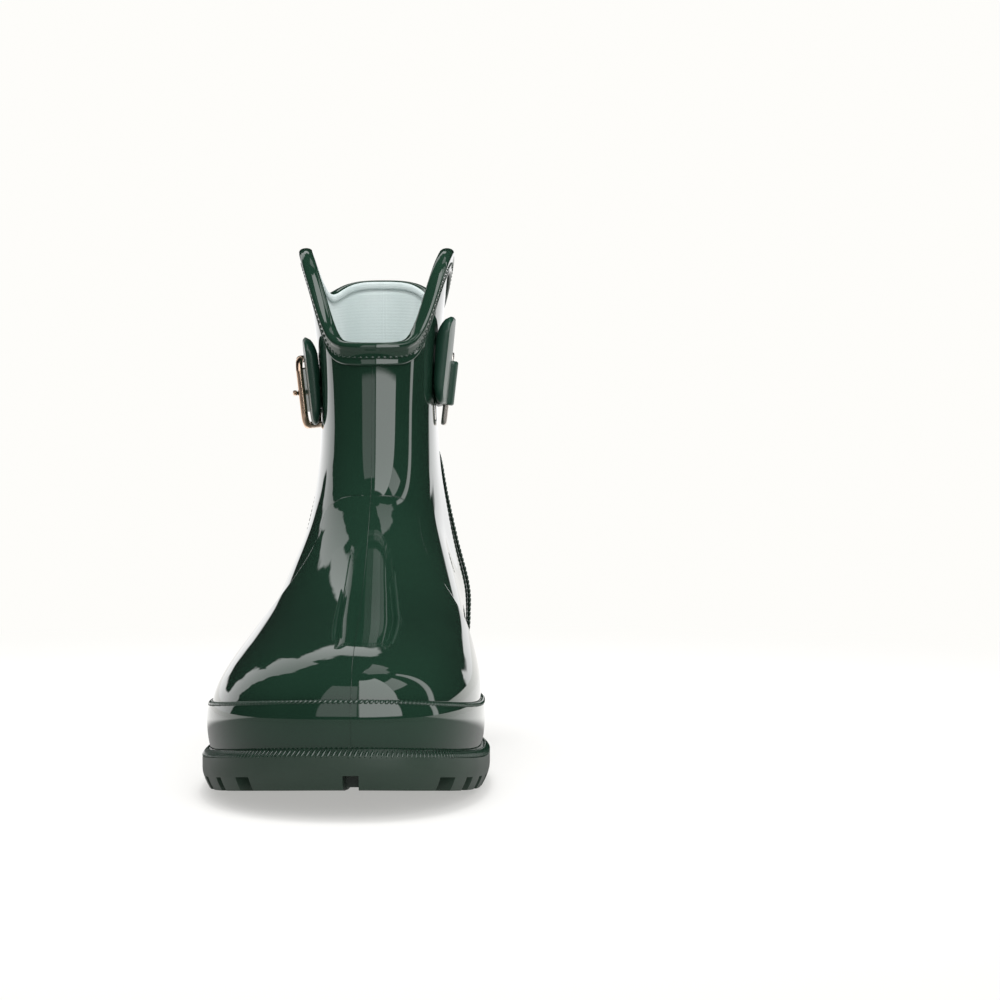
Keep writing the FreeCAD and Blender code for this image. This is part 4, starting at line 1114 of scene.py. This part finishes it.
backStrap = outward(bandPiece("backStrap", rearStations()))
finishPiece(backStrap, strapGreen, "root", ["back_strap"])
backFold = outward(bandPiece("backFold", foldStations(buckleAxes, -3.1, 3.1, 26)))
cutWith(backFold, [blockAt(buckleAxes, -4.2, 6.2, -6.2, 4.2, strapShape["prong"] + 0.8)])
finishPiece(backFold, strapGreen, "root", ())
ringRearFold = outward(bandPiece("ringRearFold", foldStations(ringRearAxes, -3.1, 3.1, 26)))
finishPiece(ringRearFold, strapGreen, "root", ())
print("straps done")


# buckle, prong, inner loop, keeper

metalShape = {"tall": 30.0, "wire": 2.8, "span": 22.0, "ringTall": 30.0, "ringWire": 2.4,
              "ringLevel": 145.2, "sides": 16, "corner": 5.0, "ringCorner": 1.6}


def wirePiece(name, path, radii, closed, body, material, replaced=()):
    # round wire along a path, radii: (half width, half depth, way across) at each place
    path = np.array(path)
    n, k = len(path), metalShape["sides"]
    points = []
    for i in range(n):
        before = path[(i - 1) % n] if closed or i else path[0]
        after = path[(i + 1) % n] if closed or i < n - 1 else path[-1]
        run = (after - before) / np.linalg.norm(after - before)
        wide, deep, across = radii(i)
        across = across - run * np.dot(across, run)
        across /= np.linalg.norm(across)
        other = np.cross(run, across)
        for j in range(k):
            a = 2 * math.pi * j / k
            c, s = math.cos(a), math.sin(a)
            square = (abs(c) ** 3 + abs(s) ** 3) ** (-1 / 3)
            points.append(path[i] + across * c * wide * square + other * s * deep * square)
    faces = gridFaces(n, k, closed, True)
    if not closed:
        faces += [tuple(range(k)), tuple(range((n - 1) * k, n * k))[::-1]]
    piece = outward(addMesh(name, points, faces))
    return finishPiece(piece, material, body, replaced)


# how far the frame rises off its rear bar's plane, along its length
riseCurve = spline([-3, 4.4, 13.2, 22, 26], [0, 0.69, 2.852, 4.6, 4.876])
wire = metalShape["wire"] / 2
tallHalf = metalShape["tall"] / 2 - wire
framePath = []
corner = metalShape["corner"]
for z in np.linspace(tallHalf - 1.0, -tallHalf + 1.0, 5):
    framePath.append((float(riseCurve(0.0)), 0.0, z))
for y in np.linspace(0.9, metalShape["span"] - corner, 14):
    framePath.append((float(riseCurve(y)), y, -tallHalf))
for a in np.linspace(0.12, math.pi / 2 - 0.05, 9):
    y = metalShape["span"] - corner + corner * math.sin(a)
    framePath.append((float(riseCurve(y)), y, -tallHalf + corner * (1 - math.cos(a))))
for z in np.linspace(-tallHalf + corner, tallHalf - corner, 12):
    framePath.append((float(riseCurve(metalShape["span"])), metalShape["span"], z))
for a in np.linspace(math.pi / 2 - 0.05, 0.12, 9):
    y = metalShape["span"] - corner + corner * math.sin(a)
    framePath.append((float(riseCurve(y)), y, tallHalf - corner * (1 - math.cos(a))))
for y in np.linspace(metalShape["span"] - corner, 0.9, 14):
    framePath.append((float(riseCurve(y)), y, tallHalf))
framePath = inFrame(framePath, buckleAxes)
barCount = 5


def frameRadii(i):
    if i < barCount:
        return 1.15, 1.15, buckleAxes[1]
    return wire, wire, buckleAxes[1]


wirePiece("buckleFrame", framePath, frameRadii, True, "frame_body", roseMetal, ["buckle_frame"])

prongLine = spline([1.4, 3, 5.8, 8.6, 12.5, 20, 23.2], [1.2, 3, 6.0, 7.4, 7.7, 7.6, 7.45])
prongPath = [(2.0 * math.cos(a), 2.0 * math.sin(a), 0.0) for a in np.linspace(-5.2, 0.55, 22)]
prongPath += [(float(prongLine(y)), y, 0.0) for y in np.linspace(2.6, 23.0, 24)]
prongPath = inFrame(prongPath, buckleAxes)
loopCount = 22


def prongRadii(i):
    if i < loopCount:
        return 1.05, 0.62, buckleAxes[3]
    end = min(1.0, (len(prongPath) - 1 - i) / 3.0 + 0.45)
    return 1.1 * end, 0.9 * end, buckleAxes[3]


wirePiece("buckleProng", prongPath, prongRadii, False, "prong_body", roseMetal,
          ["buckle_prong"])

ringRear, ringFront = ringRearAxes[0], ringFrontAxes[0]
ringUp, ringAhead = ringRearAxes[3], (ringFront - ringRear) / np.linalg.norm(ringFront - ringRear)
ringSpan = float(np.linalg.norm(ringFront - ringRear))
lowered = ringRear - ringUp * ((strapShape["ringLevel"] - metalShape["ringLevel"]) / ringUp[2])
ringHalf = metalShape["ringTall"] / 2 - metalShape["ringWire"] / 2
ringPath, bend = [], metalShape["ringCorner"]
for cy, cz, first in ((0, -1, 0), (1, -1, 1), (1, 1, 2), (0, 1, 3)):
    for a in np.linspace(0.0, math.pi / 2, 6):
        turnAngle = math.pi + first * math.pi / 2 + a
        y = (bend if cy == 0 else ringSpan - bend) + bend * math.cos(turnAngle)
        z = (ringHalf - bend) * cz + bend * math.sin(turnAngle)
        ringPath.append(lowered + ringAhead * y + ringUp * z)
wirePiece("sideRing", ringPath, lambda i: (1.18, 1.18, np.cross(ringAhead, ringUp)), True, "ring_body", plainMetal,
          ["side_ring"])


# the loop's hole off the wall and in height, and the section of its skin: along the strap, out from mid wall
keeperShape = {"y": 33.0, "near": 2.15, "far": 7.65, "low": 135.15, "high": 155.05, "halfWall": 0.45,
               "square": 9, "around": 48,
               "skin": [(-2.5, -0.25), (-2.3, 0.35), (-1.6, 0.45), (1.6, 0.45), (2.3, 0.35), (2.5, -0.25),
                        (2.3, -0.45), (-2.3, -0.45)]}


def keeperPiece():
    half, power = keeperShape["halfWall"], keeperShape["square"]
    near, far = keeperShape["near"] - half, keeperShape["far"] + half
    low, high = keeperShape["low"] - half, keeperShape["high"] + half
    section = []
    for a in np.linspace(0, 2 * math.pi, keeperShape["around"], endpoint=False):
        c, s = math.cos(a), math.sin(a)
        k = (abs(c) ** power + abs(s) ** power) ** (-1 / power)
        section.append(((near + far) / 2 + (far - near) / 2 * c * k, (low + high) / 2 + (high - low) / 2 * s * k,
                        c * k, s * k))
    points = []
    for dy, off in keeperShape["skin"]:
        point, out = wallPlace(keeperShape["y"] + dy, -1)
        for gap, z, c, s in section:
            points.append(leaning(point, out, gap + off * c, z + off * s))
    faces = gridFaces(len(keeperShape["skin"]), len(section), True, True)
    return outward(addMesh("strapKeeper", points, faces))


finishPiece(keeperPiece(), strapGreen, "keeper_body", ["strap_keeper"])
dressNode("rivet_washers", plainMetal)
dressNode("rivet_spacers", strapGreen)
print("hardware done")


# floor, light and camera

# paintedShadeFrom and paintedShadeShare: where and how strongly the floor's reflections get painted shade
stageShape = {"cameraPlace": (0.0495, -1.060, 0.132), "pitch": 1.74, "lens": 93.42, "near": 0.34, "far": 0.62,
              "plainNear": 0.42, "white": (0.99, 0.982, 0.955, 1), "paintedShadeFrom": (0.10, 0.02), "paintedShadeShare": 0.72}
floorMesh = bpy.data.meshes.new("floor")
floorMesh.from_pydata([(-6, -3, 0), (6, -3, 0), (6, 14, 0), (-6, 14, 0)], [], [(0, 1, 2, 3)])
floor = bpy.data.objects.new("floor", floorMesh)
bpy.context.scene.collection.objects.link(floor)
floor.location.z = cadBox[0][2] - 0.0002
floorLook, floorTree, floorShader = newMaterial("paleFloor", **{
    "Base Color": (0.90, 0.895, 0.885, 1), "Roughness": 0.6, "Specular IOR Level": 0.2})


def floorNode(kind, **values):
    return node(floorTree, kind, **values)


def floorFade(start, stop):
    fade = floorNode("ShaderNodeMapRange", interpolation_type="SMOOTHSTEP")
    fade.inputs["From Min"].default_value, fade.inputs["From Max"].default_value = start, stop
    return fade


# the floor turns into plain white away from the boot, so that no horizon shows
spot = floorNode("ShaderNodeTexCoord")
away = floorNode("ShaderNodeVectorMath", operation="LENGTH")
reach = floorFade(stageShape["near"], stageShape["far"])
reach.inputs["To Min"].default_value = stageShape["plainNear"]
plain = floorNode("ShaderNodeEmission", Color=stageShape["white"])
blendFloor = floorNode("ShaderNodeMixShader")
# painted reflection: in glossy rays the floor in front of the boot mixes in a dark emission, a painted shade
# standing in for the dark side of the studio
floorRays = floorNode("ShaderNodeLightPath")
floorSplit = floorNode("ShaderNodeSeparateXYZ")
ahead = floorFade(*stageShape["paintedShadeFrom"])
dim = floorNode("ShaderNodeMath", operation="MULTIPLY")
share = floorNode("ShaderNodeMath", operation="MULTIPLY")
share.inputs[1].default_value = stageShape["paintedShadeShare"]
# dark emission: the painted shade in the floor's reflections
shade = floorNode("ShaderNodeEmission", Color=(0.02, 0.02, 0.02, 1))
paintedReflection = floorNode("ShaderNodeMixShader")
for a, output, b, socket in (
        (spot, "Object", away, 0), (away, "Value", reach, "Value"), (spot, "Object", floorSplit, "Vector"),
        (floorSplit, "Y", ahead, "Value"), (ahead, "Result", dim, 0), (floorRays, "Is Glossy Ray", dim, 1),
        (reach, "Result", blendFloor, "Fac"), (floorShader, "BSDF", blendFloor, 1),
        (plain, "Emission", blendFloor, 2), (dim, "Value", share, 0), (share, "Value", paintedReflection, "Fac"),
        (blendFloor, "Shader", paintedReflection, 1), (shade, "Emission", paintedReflection, 2),
        (paintedReflection, "Shader", floorTree.nodes["Material Output"], "Surface")):
    join(a, output, b, socket)
floorMesh.materials.append(floorLook)


def lightCard(name, place, aim, size, power):
    lamp = bpy.data.lights.new(name, "AREA")
    lamp.shape, lamp.size, lamp.size_y = "RECTANGLE", size[0], size[1]
    lamp.energy = power
    holder = bpy.data.objects.new(name, lamp)
    holder.location = place
    holder.rotation_euler = (Vector(aim) - Vector(place)).to_track_quat("-Z", "Y").to_euler()
    bpy.context.scene.collection.objects.link(holder)
    return holder


world = bpy.data.worlds.new("studio")
bpy.context.scene.world = world
world.use_nodes = True
sky = world.node_tree
back = sky.nodes["Background"]


def skyMath(operation, first, second=None, third=None):
    made = node(sky, "ShaderNodeMath", operation=operation)
    for slot, value in enumerate((first, second, third)):
        if value is None:
            continue
        if isinstance(value, (int, float)):
            made.inputs[slot].default_value = value
        else:
            sky.links.new(value, made.inputs[slot])
    return made.outputs["Value"]


def fadeIn(value, start, stop):
    made = node(sky, "ShaderNodeMapRange", interpolation_type="SMOOTHSTEP")
    made.inputs["From Min"].default_value, made.inputs["From Max"].default_value = start, stop
    sky.links.new(value, made.inputs["Value"])
    return made.outputs["Result"]


# the room seen in reflections: dark, with a white backdrop low behind and softboxes in front and overhead
room = {
    "dark": 0.012, "rag": 17.0, "ragScale": 4.2, "soft": 1.0,
    # direction in degrees, from the camera's side or from the back towards +X, then elevation and strength
    "front": [(3, 62, 3, 76, 2.7), (-27, 1, 4, 62, 0.8), (62, 92, 40, 62, 1.6), (106, 113, -4, 60, 1.8)],
    "behind": [(-47, 27, -90, 6, 1.15), (-54, -36, -4, 36, 1.1), (-54, -27, 34, 55, 1.1), (-30, 3, 41, 50, 1.15),
               (12, 70, 66, 83, 0.9)],
}
view = node(sky, "ShaderNodeTexCoord")
split = node(sky, "ShaderNodeSeparateXYZ")
sky.links.new(view.outputs["Generated"], split.inputs["Vector"])
toRight, toBack, toTop = (split.outputs[k] for k in "XYZ")
azimuth = skyMath("MULTIPLY", skyMath("ARCTAN2", toRight, skyMath("MULTIPLY", toBack, -1.0)), 180 / math.pi)
fromBack = skyMath("MULTIPLY", skyMath("ARCTAN2", toRight, toBack), 180 / math.pi)
elevation = skyMath("MULTIPLY", skyMath("ARCSINE", toTop), 180 / math.pi)
ragged = node(sky, "ShaderNodeTexNoise", Scale=room["ragScale"], Detail=3.5, Roughness=0.6)
sky.links.new(view.outputs["Generated"], ragged.inputs["Vector"])
rag = skyMath("MULTIPLY", skyMath("SUBTRACT", ragged.outputs["Fac"], 0.5), room["rag"])
raggedHeight = skyMath("ADD", elevation, rag)
raggedTurn = skyMath("ADD", fromBack, rag)
light = skyMath("ADD", 0.0, room["dark"])
for turn, height, boxes in ((azimuth, elevation, room["front"]), (raggedTurn, raggedHeight, room["behind"])):
    for left, right, low, high, strength in boxes:
        soft = room["soft"]
        mask = skyMath("MULTIPLY", fadeIn(turn, left - soft, left + soft), fadeIn(turn, right + soft, right - soft))
        mask = skyMath("MULTIPLY", mask, fadeIn(height, low - soft, low + soft))
        mask = skyMath("MULTIPLY", mask, fadeIn(height, high + soft, high - soft))
        light = skyMath("MAXIMUM", light, skyMath("MULTIPLY", mask, strength))
paint = node(sky, "ShaderNodeCombineColor")
for channel in ("Red", "Green", "Blue"):
    sky.links.new(light, paint.inputs[channel])
rays = node(sky, "ShaderNodeLightPath")
diffuse = node(sky, "ShaderNodeMix", data_type="RGBA")
diffuse.inputs["B"].default_value = (0.78, 0.78, 0.78, 1)
sky.links.new(rays.outputs["Is Diffuse Ray"], diffuse.inputs["Factor"])
sky.links.new(paint.outputs["Color"], diffuse.inputs["A"])
seen = node(sky, "ShaderNodeMix", data_type="RGBA")
seen.inputs["B"].default_value = stageShape["white"]
sky.links.new(rays.outputs["Is Camera Ray"], seen.inputs["Factor"])
sky.links.new(diffuse.outputs["Result"], seen.inputs["A"])
sky.links.new(seen.outputs["Result"], back.inputs["Color"])
back.inputs["Strength"].default_value = 1.0

middle = (0.0, -0.05, 0.10)
lamps = [lightCard("topBox", (-0.1, 0.1, 1.6), middle, (1.0, 1.0), 9.0)]
lamps.append(lightCard("mouthLight", (0.0, -0.10, 0.55), (0.0, 0.02, 0.17), (0.10, 0.10), 0.9))
for lamp in lamps:
    lamp.visible_glossy = False

cameraData = bpy.data.cameras.new("camera")
cameraData.lens, cameraData.sensor_width = stageShape["lens"], 36.0
camera = bpy.data.objects.new("camera", cameraData)
camera.location = stageShape["cameraPlace"]
camera.rotation_euler = (math.radians(90 - stageShape["pitch"]), 0, 0)
bpy.context.scene.collection.objects.link(camera)
bpy.context.scene.camera = camera
bpy.context.scene.view_settings.view_transform = "Standard"
for guide in (ropeGrain, ribGrain, counterGrain, stitchGrain):
    bpy.data.objects.remove(guide)
